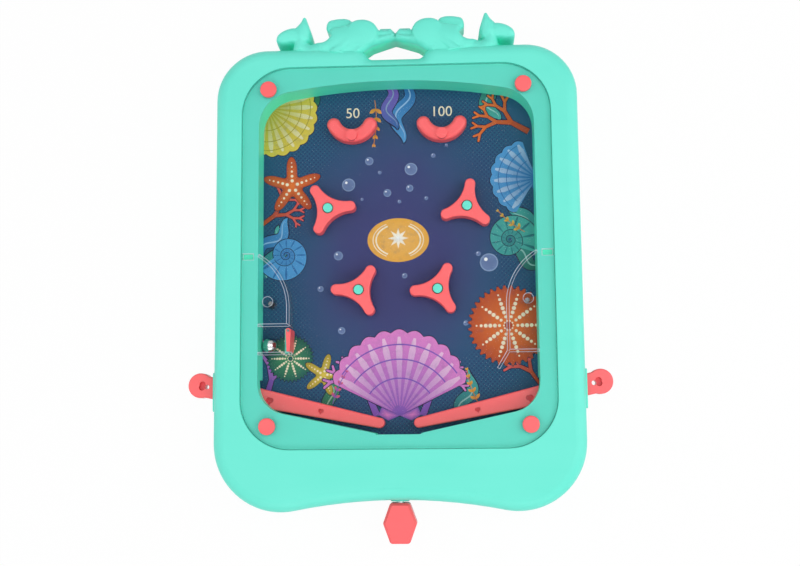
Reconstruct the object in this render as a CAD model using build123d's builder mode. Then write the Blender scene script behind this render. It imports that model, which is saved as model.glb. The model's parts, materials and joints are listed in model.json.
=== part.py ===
from build123d import *
import math
import os

# Tabletop pinball game that lies on its feet: +X to the right, +Y towards the crest, +Z up.
# Plan positions are measured from the layout centre, the middle of the four cover caps, and the
# layout plane carries them so that the whole object is centred on the origin. Millimetres.

# Case outline
BODY_HALF_W = 119.3
TOP_RIM = 13.6
LOWER_RIM = 39.2
BODY_DIP = 7.3
TOP_CORNER_R = 34.0
LOBE_R = 44.0
SCOOP_HALF_W = 15.0
SCOOP_DEPTH = 8.0
SCOOP_OUTER_R = 11.0
SCOOP_INNER_R = 4.0

# Case heights and walls
FOOT_PROUD = 2.0
BODY_H = 36.0
FIELD_DEPTH = 22.3
PARTING_DROP = 0.7
SHELL_WALL = 2.2
FLOOR_T = 2.4
EDGE_R = 8.0
BACK_EDGE_R = 5.0

# Clear cover and the rebate it lies in
RIM_W = 17.8
COVER_HALF_L = 125.4
COVER_CORNER_R = 32.0
COVER_T = 2.0
COVER_SINK = 0.4
COVER_GAP = 0.25
LUG_W = 7.0
LUG_INSET = 1.0
LUG_L = 4.0
LUG_H = 2.0
LUG_Y = -0.6
POCKET_RIM = 1.6
POCKET_FLOOR_T = 1.2

# Playfield opening
SHELF_W = 11.1
SHELF_T = 2.4
INNER_WALL = 2.0
TOP_SHELF_W = 10.1
OPEN_ARCH_R = 410.0
OPEN_CORNER_R = 23.7
V_SHELF_W = 7.05
V_CORNER_R = 20.0
NOTCH_HALF_W = 14.5
NOTCH_SHORT = 2.35
DROOP = 12.2

# Board and tray
BOARD_T = 1.0
BOARD_MARGIN = 2.8
TRAY_T = 2.0
TRAY_MARGIN = 5.5
TRAY_SHORT = 4.4
TRAY_CORNER_R = 27.0

# Cover caps and their bosses
CAP_INSET_X = 17.8
CAP_INSET_Y = 15.05
CAP_R = 5.4
CAP_H = 2.2
CAP_DOME = 0.9
CAP_SHANK_R = 2.6
CAP_SHANK_L = 9.0
CAP_BOSS_R = 5.0

# Spinners and posts
SPINNER_UPPER_SHARES = (0.508, 0.283)
SPINNER_LOWER_SHARES = (0.2865, -0.191)
SPINNER_REACH = 18.3
SPINNER_TIP_R = 3.45
SPINNER_WAIST = 7.3
SPINNER_H = 9.0
SPINNER_PLAY = 0.5
SPINNER_EDGE_R = 0.9
SPINNER_TURNS = {"upper_left": 5.0, "upper_right": 81.0, "lower_left": 58.0, "lower_right": 64.0}
POST_R = 3.1
POST_FLANGE_R = 5.0
POST_FLANGE_T = 1.0
POST_H = 11.6
POST_EDGE_R = 0.6
SPIGOT_R = 2.0

# Catch cups
CUP_X_SHARE = 0.332
CUP_DROP = 19.7
CUP_R = 13.4
CUP_LIMB_W = 9.1
CUP_SPAN = 130.0
CUP_H = 8.6
CUP_EDGE_R = 2.6
CUP_BOSS_R = 3.7
CUP_BOSS_RISE = 2.2
CUP_BOSS_INSET = 0.4

# Flipper levers
PIVOT_INSET = 16.3
PIVOT_RISE = 29.15
FLIP_ANGLE = 22.0
FLIPPER_TIP_X = 9.56
FLIPPER_TIP_R = 3.3
FLIPPER_ROOT_R = 6.6
LEVER_LIFT = 0.6
LEVER_H = 9.0
LEVER_EDGE_R = 1.0
NECK_HALF_W = 7.0
TAB_CENTRE = 27.2
TAB_R = 8.1
TAB_HOLE_AT = 22.9
TAB_HOLE_R = 1.6
DENT_PLACES = (19.4, 53.6)
DENT_RADII = (1.7, 1.25)
DENT_DEPTH = 2.2
TAB_DENT_AT = 26.0
TAB_DENT_R = 2.0
PIVOT_PIN_R = 2.0
PIVOT_BOSS_R = 4.6
PIVOT_SEAT = 6.0
SLOT_CLEAR = 0.6
COLLAR_PROUD = 1.4
COLLAR_HALF_L = 12.7
COLLAR_SHIFT = 1.3
COLLAR_LIP = 3.2
COLLAR_EDGE_R = 2.4

# Flipper return springs
FLIP_WIRE_R = 0.4
FLIP_COIL_R = 6.0
FLIP_PITCH = 1.5
FLIP_TURNS = 3
FLIP_LEG = 9.0

# Plunger
KNOB_PROUD = 27.7
KNOB_L = 25.6
KNOB_HALF_W = 10.9
KNOB_END_HALF_W = 6.2
KNOB_H = 14.0
KNOB_EDGE = 1.6
KNOB_CORNER_R = 2.2
ROD_R = 2.5
ROD_IN_KNOB = 14.0
PLUNGER_TRAVEL = 18.0
STRIKER_HALF_W = 13.0
STRIKER_H = 8.6
STRIKER_T = 4.0
STRIKER_HUB_R = 4.0
STRIKER_HUB_L = 5.0
STRIKER_SET_BACK = 0.3
BUSH_R = 5.0
BUSH_LIP_R = 6.0
BUSH_LIP_T = 1.0
BUSH_L = 7.0
GUIDE_T = 2.0
GUIDE_SPARE = 5.0
PLUNGER_WIRE_R = 0.4
PLUNGER_COIL_R = 4.4
PLUNGER_TURNS = 7

# Ball, cell, ribs and gate
BALL_R = 5.0
BALL_WALL_GAP = 0.5
LANE_W = 19.6
RIB_T = 1.4
RIB_ARC_R = 40.0
RIB_BEND_RISE = 11.4
RIB_CLEAR = 0.4
CELL_RISE = 25.5
CELL_L = 18.3
CELL_LEDGE = 2.4
FIN_L = 12.0
FIN_ANGLE = 59.0
CLEAR_POST_RISE = 3.8
CLEAR_POST_INSET = 6.4
CLEAR_POST_R = 3.2
GATE_DROP = 3.5
GATE_L = 15.0
GATE_T = 3.3
GATE_TIP_HALF_T = 1.0
GATE_HEADROOM = 1.6
GATE_PIN_R = 0.8
SILL_W = 2.8
SILL_H = 1.2

# Crest: two dolphins nose to nose
CREST_W_SHARE = 0.6647
CREST_RISE = 22.0
CREST_SINK = 1.0
CREST_CORNER_R = 1.6
CREST_EDGE_R = 1.3

# Fasteners
SCREW_R = 1.5
SCREW_HEAD_R = 2.8
SCREW_HEAD_H = 2.0
SCREW_SLOT_W = 0.8
SCREW_SLOT_DEPTH = 0.8
SCREW_BITE = 8.0
SCREW_BOSS_R = 4.2
SCREW_INSET = 12.8
SCREW_RECESS = 1.2
SIDE_SCREW_SHARES = (0.68, 0.02, -0.72)
END_SCREW_SHARE = 0.436

# Feet
FOOT_R = 7.0
FOOT_SEAT = 1.2
FOOT_EDGE_R = 0.8
FOOT_INSET = 27.0
FOOT_TOP_INSET = 31.0
FOOT_LOW_INSET = 30.6

# Fold-out stand
STAND_W_SHARE = 0.503
STAND_L = 52.0
STAND_T = 4.0
STAND_KNUCKLE_R = 2.6
STAND_HINGE_INSET = 39.0
STAND_PIN_R = 1.5
STAND_PIN_HOLD = 1.4
STAND_GAP = 0.6
STAND_CORNER_R = 6.0
STAND_WINDOW_SHARE = 0.62
STAND_SINK = 0.3
FINGER_HALF_W = 11.0
FINGER_L = 9.0

# Clearances
FIT = 0.06
RUN = 0.08
LIFT = 0.3
OVERRUN = 1.0

# Case and opening, worked out from the cover's size and the rims round it
BODY_TOP_Y = COVER_HALF_L + TOP_RIM
BODY_LOBE_Y = COVER_HALF_L + LOWER_RIM
COVER_HALF_W = BODY_HALF_W - RIM_W
OPEN_HALF_W = COVER_HALF_W - SHELF_W
OPEN_TOP_Y = COVER_HALF_L - TOP_SHELF_W
V_VERTEX_Y = COVER_HALF_L - V_SHELF_W
NOTCH_Y = V_VERTEX_Y - NOTCH_SHORT
CREST_HALF_W = CREST_W_SHARE * BODY_HALF_W

# Outline of the right-hand dolphin as shares of the crest's half width and rise: each row is the end
# of a stretch, with the point that its arc passes or None where it is straight.
CREST_START_SHARES = (0.0, 0.264)
CREST_SHARES = (
    (None, (0.0, 0.430)),
    (None, (0.036, 0.520)),
    (None, (0.130, 0.518)),
    ((0.179, 0.718), (0.265, 0.832)),
    ((0.315, 0.823), (0.358, 0.786)),
    ((0.462, 0.886), (0.557, 0.818)),
    ((0.580, 0.682), (0.566, 0.545)),
    (None, (0.537, 0.400)),
    ((0.603, 0.164), (0.685, 0.173)),
    ((0.706, 0.477), (0.762, 1.060)),
    ((0.794, 0.810), (0.850, 0.627)),
    ((0.913, 0.577), (0.979, 0.436)),
    ((1.000, 0.318), (0.991, 0.159)),
    (None, (0.961, -0.350)),
    (None, (0.309, -0.350)),
    (None, (0.284, -0.073)),
    ((0.132, 0.112), CREST_START_SHARES),
)


def crest_point(shares):
    """Point of the crest outline from its shares."""
    return (shares[0] * CREST_HALF_W, BODY_TOP_Y + shares[1] * CREST_RISE)


def crest_profile():
    """Outline of both dolphins, with the corners above the case rounded."""
    with BuildSketch() as profile:
        with BuildLine():
            here = crest_point(CREST_START_SHARES)
            for via, end in CREST_SHARES:
                if via is None:
                    Line(here, crest_point(end))
                else:
                    ThreePointArc(here, crest_point(via), crest_point(end))
                here = crest_point(end)
        make_face()
        mirror(about=Plane.YZ)
        clear_of_nose = profile.vertices().filter_by(lambda corner: abs(corner.X) > CREST_CORNER_R)
        fillet(clear_of_nose.filter_by(lambda corner: corner.Y > BODY_TOP_Y), radius=CREST_CORNER_R)
    return profile.sketch


# Heights worked out from the sizes above
TOP_Z = FOOT_PROUD + BODY_H
FIELD_Z = TOP_Z - FIELD_DEPTH
PARTING_Z = FIELD_Z - PARTING_DROP
TRAY_TOP_Z = FIELD_Z - BOARD_T
TRAY_LOW_Z = TRAY_TOP_Z - TRAY_T
SHELF_Z = TOP_Z - COVER_SINK - COVER_T
CEILING_Z = SHELF_Z - SHELF_T
FLOOR_Z = FOOT_PROUD + FLOOR_T
LEVER_LOW_Z = FIELD_Z + LEVER_LIFT
LEVER_TOP_Z = LEVER_LOW_Z + LEVER_H
PLUNGER_Z = FIELD_Z + BALL_R
GATE_LOW_Z = FIELD_Z + LIFT
GATE_TOP_Z = SHELF_Z - GATE_HEADROOM
STAND_Z = FOOT_PROUD + STAND_SINK + STAND_KNUCKLE_R
STAND_ROOF_Z = STAND_Z + STAND_KNUCKLE_R + STAND_GAP

# Plan sizes worked out from the sizes above
CREST_TOP_Y = crest_profile().bounding_box().max.Y
DIP_Y = BODY_LOBE_Y - BODY_DIP
KNOB_END_Y = DIP_Y + KNOB_PROUD
KNOB_TOP_Y = KNOB_END_Y - KNOB_L
CENTRE_Y = (KNOB_END_Y - CREST_TOP_Y) / 2
LANE_X = OPEN_HALF_W - LANE_W
LOBE_X = BODY_HALF_W - LOBE_R
DIP_R = (LOBE_X**2 + BODY_DIP**2) / (2 * BODY_DIP) - LOBE_R
DIP_SPAN = math.degrees(math.asin(LOBE_X / (LOBE_R + DIP_R)))
SCOOP_SUM_R = SCOOP_OUTER_R + SCOOP_INNER_R
SCOOP_SPAN = math.degrees(math.acos(1 - SCOOP_DEPTH / SCOOP_SUM_R))
SCOOP_RUN = math.sqrt(2 * SCOOP_DEPTH * SCOOP_SUM_R - SCOOP_DEPTH**2)
OPEN_CORNER_X = OPEN_HALF_W - OPEN_CORNER_R
ARCH_SPAN = math.degrees(math.asin(OPEN_CORNER_X / (OPEN_ARCH_R - OPEN_CORNER_R)))
V_SLOPE = math.tan(math.radians(DROOP))
V_STRETCH = 1 / math.cos(math.radians(DROOP))
V_CORNER_X = OPEN_HALF_W - V_CORNER_R
V_CORNER_Y = -V_VERTEX_Y + V_SLOPE * V_CORNER_X + V_STRETCH * V_CORNER_R
TRAY_HALF_W = OPEN_HALF_W + TRAY_MARGIN
TRAY_HALF_L = COVER_HALF_L - TRAY_SHORT
STRIKER_FACE_Y = NOTCH_Y + STRIKER_SET_BACK
SPRING_TOP_Y = STRIKER_FACE_Y + STRIKER_T + STRIKER_HUB_L
GUIDE_L = PLUNGER_TRAVEL + STRIKER_T + GUIDE_SPARE
BUSH_SEAT_Y = DIP_Y + BUSH_LIP_R**2 / (2 * DIP_R) + FIT
BUSH_IN_Y = DIP_Y - BUSH_L
CAP_X = COVER_HALF_W - CAP_INSET_X
CAP_Y = COVER_HALF_L - CAP_INSET_Y
CAP_PLACES = [(x, y) for x in (-CAP_X, CAP_X) for y in (-CAP_Y, CAP_Y)]
SPINNER_ROWS = {"upper": SPINNER_UPPER_SHARES, "lower": SPINNER_LOWER_SHARES}
POST_PLACES = {
    f"{row}_{column}": (side * across_share * OPEN_HALF_W, up_share * OPEN_TOP_Y)
    for row, (across_share, up_share) in SPINNER_ROWS.items()
    for column, side in (("left", -1), ("right", 1))
}
CUP_X = CUP_X_SHARE * OPEN_HALF_W
CUP_Y = OPEN_TOP_Y - CUP_DROP
CUP_BOSS_Y = CUP_Y - CUP_R - CUP_BOSS_INSET
CUP_PLACES = [(-CUP_X, CUP_BOSS_Y), (CUP_X, CUP_BOSS_Y)]
PIVOT_X = BODY_HALF_W - PIVOT_INSET
PIVOT_Y = PIVOT_RISE - V_VERTEX_Y
FLIPPER_REACH = (PIVOT_X - FLIPPER_TIP_X) * V_STRETCH
PIVOT_PLACES = [(-PIVOT_X, PIVOT_Y), (PIVOT_X, PIVOT_Y)]
CELL_FLOOR_Y = PIVOT_Y + CELL_RISE
CELL_TOP_Y = CELL_FLOOR_Y + CELL_L
RIB_BEND_Y = CELL_TOP_Y + RIB_BEND_RISE
CLEAR_POST_Y = RIB_BEND_Y + CLEAR_POST_RISE
CLEAR_POST_X = OPEN_HALF_W - CLEAR_POST_INSET
CLEAR_POST_PLACES = [(-CLEAR_POST_X, CLEAR_POST_Y), (CLEAR_POST_X, CLEAR_POST_Y)]
GATE_Y = CELL_TOP_Y - GATE_DROP
GATE_PLACE = (-LANE_X, GATE_Y)
END_SCREW_X = END_SCREW_SHARE * BODY_HALF_W
SIDE_SCREW_X = BODY_HALF_W - SCREW_INSET
SHELL_SCREW_PLACES = [
    *[(side * SIDE_SCREW_X, share * BODY_LOBE_Y) for side in (-1, 1) for share in SIDE_SCREW_SHARES],
    *[(side * END_SCREW_X, BODY_TOP_Y - SCREW_INSET) for side in (-1, 1)],
    *[(side * END_SCREW_X, -DIP_Y + SCREW_INSET + SHELL_WALL) for side in (-1, 1)],
]
FOOT_X = BODY_HALF_W - FOOT_INSET
FOOT_TOP_Y = BODY_TOP_Y - FOOT_TOP_INSET
FOOT_LOW_Y = BODY_LOBE_Y - FOOT_LOW_INSET
FOOT_PLACES = [(side * FOOT_X, y) for side in (-1, 1) for y in (FOOT_TOP_Y, -FOOT_LOW_Y)]
STAND_HALF_W = STAND_W_SHARE * BODY_HALF_W
STAND_HINGE_Y = BODY_TOP_Y - STAND_HINGE_INSET


def level(z):
    """Layout plane at height z."""
    return Plane(origin=(0, CENTRE_Y, z))


def facing_front(y, z):
    """Plane square to the plunger, at plan position y and height z, with its normal towards -Y."""
    return Plane(origin=(0, CENTRE_Y + y, z), x_dir=(1, 0, 0), z_dir=(0, -1, 0))


def facing_side(side, x, y, z):
    """Plane square to X, with its normal pointing out of the given side of the case."""
    return Plane(origin=(side * x, CENTRE_Y + y, z), x_dir=(0, side, 0), z_dir=(side, 0, 0))


def save(piece, name):
    """Label a finished piece and write its file."""
    piece.label = name
    export_step(piece, f"parts/{name}.step")


def body_profile(inset=0.0):
    """Case outline in plan, moved inwards by inset."""
    half_w = BODY_HALF_W - inset
    top_y = BODY_TOP_Y - inset
    corner = (BODY_HALF_W - TOP_CORNER_R, BODY_TOP_Y - TOP_CORNER_R)
    shoulder = (SCOOP_HALF_W + SCOOP_RUN, BODY_TOP_Y - SCOOP_OUTER_R)
    hollow = (SCOOP_HALF_W, BODY_TOP_Y - SCOOP_DEPTH + SCOOP_INNER_R)
    lobe = (LOBE_X, LOBE_R - BODY_LOBE_Y)
    with BuildSketch() as profile:
        with BuildLine():
            Line((0, top_y - SCOOP_DEPTH), (hollow[0], top_y - SCOOP_DEPTH))
            CenterArc(hollow, SCOOP_INNER_R + inset, 270, SCOOP_SPAN)
            CenterArc(shoulder, SCOOP_OUTER_R - inset, 90, SCOOP_SPAN)
            Line((shoulder[0], top_y), (corner[0], top_y))
            CenterArc(corner, TOP_CORNER_R - inset, 0, 90)
            Line((half_w, corner[1]), (half_w, lobe[1]))
            CenterArc(lobe, LOBE_R - inset, -90 - DIP_SPAN, 90 + DIP_SPAN)
            CenterArc((0, -DIP_Y - DIP_R), DIP_R + inset, 90 - DIP_SPAN, DIP_SPAN)
            mirror(about=Plane.YZ)
        make_face()
    return profile.sketch


def opening_profile(grow=0.0):
    """Playfield opening in plan, moved outwards by grow."""
    half_w = OPEN_HALF_W + grow
    arch_y = OPEN_TOP_Y - OPEN_ARCH_R
    corner_rise = math.cos(math.radians(ARCH_SPAN)) * (OPEN_ARCH_R - OPEN_CORNER_R)
    corner = (OPEN_CORNER_X, arch_y + corner_rise)
    notch_x = NOTCH_HALF_W + grow
    vertex_y = -V_VERTEX_Y - V_STRETCH * grow
    with BuildSketch() as profile:
        with BuildLine():
            CenterArc((0, arch_y), OPEN_ARCH_R + grow, 90 - ARCH_SPAN, ARCH_SPAN)
            CenterArc(corner, OPEN_CORNER_R + grow, 0, 90 - ARCH_SPAN)
            Line((half_w, corner[1]), (half_w, V_CORNER_Y))
            bend = CenterArc((V_CORNER_X, V_CORNER_Y), V_CORNER_R + grow, DROOP - 90, 90 - DROOP)
            Polyline(
                bend @ 0,
                (notch_x, vertex_y + V_SLOPE * notch_x),
                (notch_x, -NOTCH_Y - grow),
                (0, -NOTCH_Y - grow),
            )
            mirror(about=Plane.YZ)
        make_face()
    return profile.sketch


def heart_profile(size):
    """Small heart whose point lies at -Y, sized by the radius of its lobes."""
    with BuildSketch() as profile:
        with Locations((-size / 2, 0), (size / 2, 0)):
            Circle(size)
        with BuildLine():
            Polyline((-size, -size / 2), (0, -2 * size), (size, -size / 2), close=True)
        make_face()
    return profile.sketch


def lever_profile(grow=0.0):
    """Flipper lever in plan about its pivot, with the flipper towards +X and the tab towards -X."""
    tip_at = FLIPPER_REACH - FLIPPER_TIP_R
    tip_r = FLIPPER_TIP_R + grow
    root_r = FLIPPER_ROOT_R + grow
    # The straight sides leave the tip and the root along their tangent
    lean = (root_r - tip_r) / tip_at
    rise = math.sqrt(1 - lean**2)
    with BuildSketch() as profile:
        Circle(NECK_HALF_W + grow)
        with Locations((tip_at, 0)):
            Circle(tip_r)
        with Locations((-TAB_CENTRE, 0)):
            Circle(TAB_R + grow)
        with Locations((-TAB_CENTRE / 2, 0)):
            Rectangle(TAB_CENTRE, 2 * (NECK_HALF_W + grow))
        with BuildLine():
            Polyline(
                (root_r * lean, root_r * rise),
                (tip_at + tip_r * lean, tip_r * rise),
                (tip_at + tip_r * lean, -tip_r * rise),
                (root_r * lean, -root_r * rise),
                close=True,
            )
        make_face()
    return profile.sketch


def lever_plane(side, z, swing=0.0):
    """Plane at a lever's pivot, +X along its flipper, for the left (-1) or right (1) side."""
    turn = math.radians(DROOP - swing)
    along = (-side * math.cos(turn), -math.sin(turn), 0)
    return Plane(origin=(side * PIVOT_X, CENTRE_Y + PIVOT_Y, z), x_dir=along, z_dir=(0, 0, 1))


def screw_group(places, head_low_z, length):
    """Identical pan-head screws that point up, one at each place."""
    with BuildPart() as screws:
        for place in places:
            seat = Plane(origin=(place[0], CENTRE_Y + place[1], head_low_z))
            with BuildSketch(seat):
                Circle(SCREW_HEAD_R)
            extrude(amount=SCREW_HEAD_H)
            with BuildSketch(seat):
                Circle(SCREW_R)
            extrude(amount=SCREW_HEAD_H + length)
            with BuildSketch(seat):
                Rectangle(2 * SCREW_R, SCREW_SLOT_W)
                Rectangle(SCREW_SLOT_W, 2 * SCREW_R)
            extrude(amount=SCREW_SLOT_DEPTH, mode=Mode.SUBTRACT)
    return screws.part


def coil_path(base, radius, pitch, turns, tail=0.0):
    """Helix about the base plane's normal, as pairs of tangent arcs of a quarter turn, with an
    optional straight tail leaving each end."""
    slope = pitch / (2 * math.pi * radius)
    stretch = math.hypot(1, slope)

    def station(turn):
        angle = 2 * math.pi * turn
        place = Vector(radius * math.cos(angle), radius * math.sin(angle), pitch * turn)
        heading = Vector(-math.sin(angle) / stretch, math.cos(angle) / stretch, slope / stretch)
        return base.from_local_coords(place), base.from_local_coords(heading) - base.origin

    with BuildLine() as path:
        for quarter in range(4 * turns):
            start, out = station(quarter / 4)
            end, arrive = station((quarter + 1) / 4)
            reach = end - start
            both = out + arrive
            spread = 2 * (1 - out.dot(arrive))
            along = reach.dot(both)
            arm = (-along + math.sqrt(along**2 + spread * reach.dot(reach))) / spread
            first = start + out * arm
            last = end - arrive * arm
            middle = (first + last) / 2
            TangentArc(start, middle, tangent=out)
            TangentArc(middle, end, tangent=last - first)
        if tail:
            start, out = station(0)
            end, arrive = station(turns)
            Line(start - out * tail, start)
            Line(end, end + arrive * tail)
    return path.wires()[0]


def coil(path, wire_r):
    """Round wire along a coil's path."""
    with BuildPart() as wire:
        with BuildSketch(Plane(origin=path @ 0, z_dir=path % 0)):
            Circle(wire_r)
        sweep(path=path)
    return wire.part


def least_gap(pitch, radius, turns, wire_r):
    """Smallest clear distance between turns of a coil, measured on points along it."""
    per_turn = 24
    points = []
    for step in range(per_turn * turns + 1):
        angle = 2 * math.pi * step / per_turn
        points.append(Vector(radius * math.cos(angle), radius * math.sin(angle), pitch * step / per_turn))
    apart = [
        (points[late] - points[early]).length
        for early in range(len(points))
        for late in range(early + per_turn // 2, len(points))
    ]
    return min(apart) - 2 * wire_r


os.makedirs("parts", exist_ok=True)

# Case block: the unhollowed upper body, which the frame starts from and the crest is fitted to
with BuildPart() as case_block:
    with BuildSketch(level(PARTING_Z)):
        add(body_profile())
    extrude(amount=TOP_Z - PARTING_Z)
    fillet(case_block.faces().sort_by(Axis.Z)[-1].edges(), radius=EDGE_R)

# Front frame
with BuildPart() as front_frame:
    add(case_block.part)
    with BuildSketch(level(PARTING_Z)):
        add(body_profile(SHELL_WALL))
        add(opening_profile(INNER_WALL), mode=Mode.SUBTRACT)
    extrude(amount=CEILING_Z - PARTING_Z, mode=Mode.SUBTRACT)
    # Bosses for the caps, the shell screws and the pivot pins
    with BuildSketch(level(TRAY_TOP_Z)):
        with Locations(*CAP_PLACES):
            Circle(CAP_BOSS_R)
    extrude(amount=CEILING_Z - TRAY_TOP_Z)
    with BuildSketch(level(PARTING_Z)):
        with Locations(*SHELL_SCREW_PLACES):
            Circle(SCREW_BOSS_R)
    extrude(amount=CEILING_Z - PARTING_Z)
    with BuildSketch(level(LEVER_TOP_Z + LIFT)):
        with Locations(*PIVOT_PLACES):
            Circle(PIVOT_BOSS_R)
    extrude(amount=CEILING_Z - LEVER_TOP_Z - LIFT)
    # Rails that guide the striker
    guide_x = STRIKER_HALF_W + LIFT + GUIDE_T / 2
    guide_y = -NOTCH_Y - GUIDE_L / 2
    with BuildSketch(level(FIELD_Z + LIFT)):
        with Locations((-guide_x, guide_y), (guide_x, guide_y)):
            Rectangle(GUIDE_T, GUIDE_L)
    extrude(amount=CEILING_Z - FIELD_Z - LIFT)
    # Collars round the lever slots
    collar_h = LEVER_TOP_Z + COLLAR_LIP - PARTING_Z
    collar_y = PIVOT_Y + COLLAR_SHIFT
    for side in (-1, 1):
        with BuildSketch(facing_side(side, BODY_HALF_W - SHELL_WALL, collar_y, PARTING_Z + collar_h / 2)):
            RectangleRounded(2 * COLLAR_HALF_L, collar_h, COLLAR_EDGE_R)
        extrude(amount=SHELL_WALL + COLLAR_PROUD)
    # Opening, rebate for the cover and the foot of the inner wall, which stands on the board
    with BuildSketch(level(TRAY_TOP_Z)):
        add(opening_profile())
    extrude(amount=TOP_Z - TRAY_TOP_Z, mode=Mode.SUBTRACT)
    with BuildSketch(level(PARTING_Z)):
        add(opening_profile(INNER_WALL))
        with Locations(*CAP_PLACES):
            Circle(CAP_BOSS_R, mode=Mode.SUBTRACT)
    extrude(amount=FIELD_Z - PARTING_Z, mode=Mode.SUBTRACT)
    with BuildSketch(level(SHELF_Z)):
        RectangleRounded(2 * COVER_HALF_W, 2 * COVER_HALF_L, COVER_CORNER_R)
    extrude(amount=TOP_Z - SHELF_Z, mode=Mode.SUBTRACT)
    # Pockets for the cover's lugs, each with a floor under the shelf
    lug_x = COVER_HALF_W - LUG_INSET - LUG_W / 2
    with BuildSketch(level(SHELF_Z)):
        with Locations((-lug_x, LUG_Y), (lug_x, LUG_Y)):
            Rectangle(LUG_W + 2 * COVER_GAP, LUG_L + 2 * COVER_GAP)
    extrude(amount=-SHELF_T, mode=Mode.SUBTRACT)
    with BuildSketch(level(CEILING_Z)):
        with Locations((-lug_x, LUG_Y), (lug_x, LUG_Y)):
            Rectangle(LUG_W + 2 * POCKET_RIM, LUG_L + 2 * POCKET_RIM)
    extrude(amount=-POCKET_FLOOR_T)
    # Slots that the levers sweep through
    for side in (-1, 1):
        for swing in (0, FLIP_ANGLE / 2, FLIP_ANGLE):
            with BuildSketch(lever_plane(side, TRAY_TOP_Z, swing)):
                add(lever_profile(SLOT_CLEAR))
            extrude(amount=LEVER_TOP_Z + LIFT - TRAY_TOP_Z, mode=Mode.SUBTRACT)
    # Plunger bush hole and striker window
    with BuildSketch(facing_front(-BUSH_IN_Y + OVERRUN, PLUNGER_Z)):
        Circle(BUSH_R + FIT)
    extrude(amount=DIP_Y - BUSH_IN_Y + 2 * OVERRUN, mode=Mode.SUBTRACT)
    with BuildSketch(level(TRAY_TOP_Z)):
        with Locations((0, -NOTCH_Y)):
            Rectangle(2 * (STRIKER_HALF_W + LIFT), 2 * (INNER_WALL + OVERRUN))
    extrude(amount=PLUNGER_Z + STRIKER_H / 2 + LIFT - TRAY_TOP_Z, mode=Mode.SUBTRACT)
    # Holes for cap shanks, tray screws, shell screws and pivot pins
    with BuildSketch(level(SHELF_Z)):
        with Locations(*CAP_PLACES):
            Circle(CAP_SHANK_R + FIT)
    extrude(amount=COVER_T - CAP_SHANK_L - LIFT, mode=Mode.SUBTRACT)
    with BuildSketch(level(TRAY_TOP_Z)):
        with Locations(*CAP_PLACES):
            Circle(SCREW_R + FIT)
    extrude(amount=SCREW_BITE + LIFT, mode=Mode.SUBTRACT)
    with BuildSketch(level(PARTING_Z)):
        with Locations(*SHELL_SCREW_PLACES):
            Circle(SCREW_R + FIT)
    extrude(amount=SCREW_BITE + LIFT, mode=Mode.SUBTRACT)
    with BuildSketch(level(LEVER_TOP_Z)):
        with Locations(*PIVOT_PLACES):
            Circle(PIVOT_PIN_R + FIT)
    extrude(amount=PIVOT_SEAT + LIFT, mode=Mode.SUBTRACT)
save(front_frame.part, "front_frame")

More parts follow.
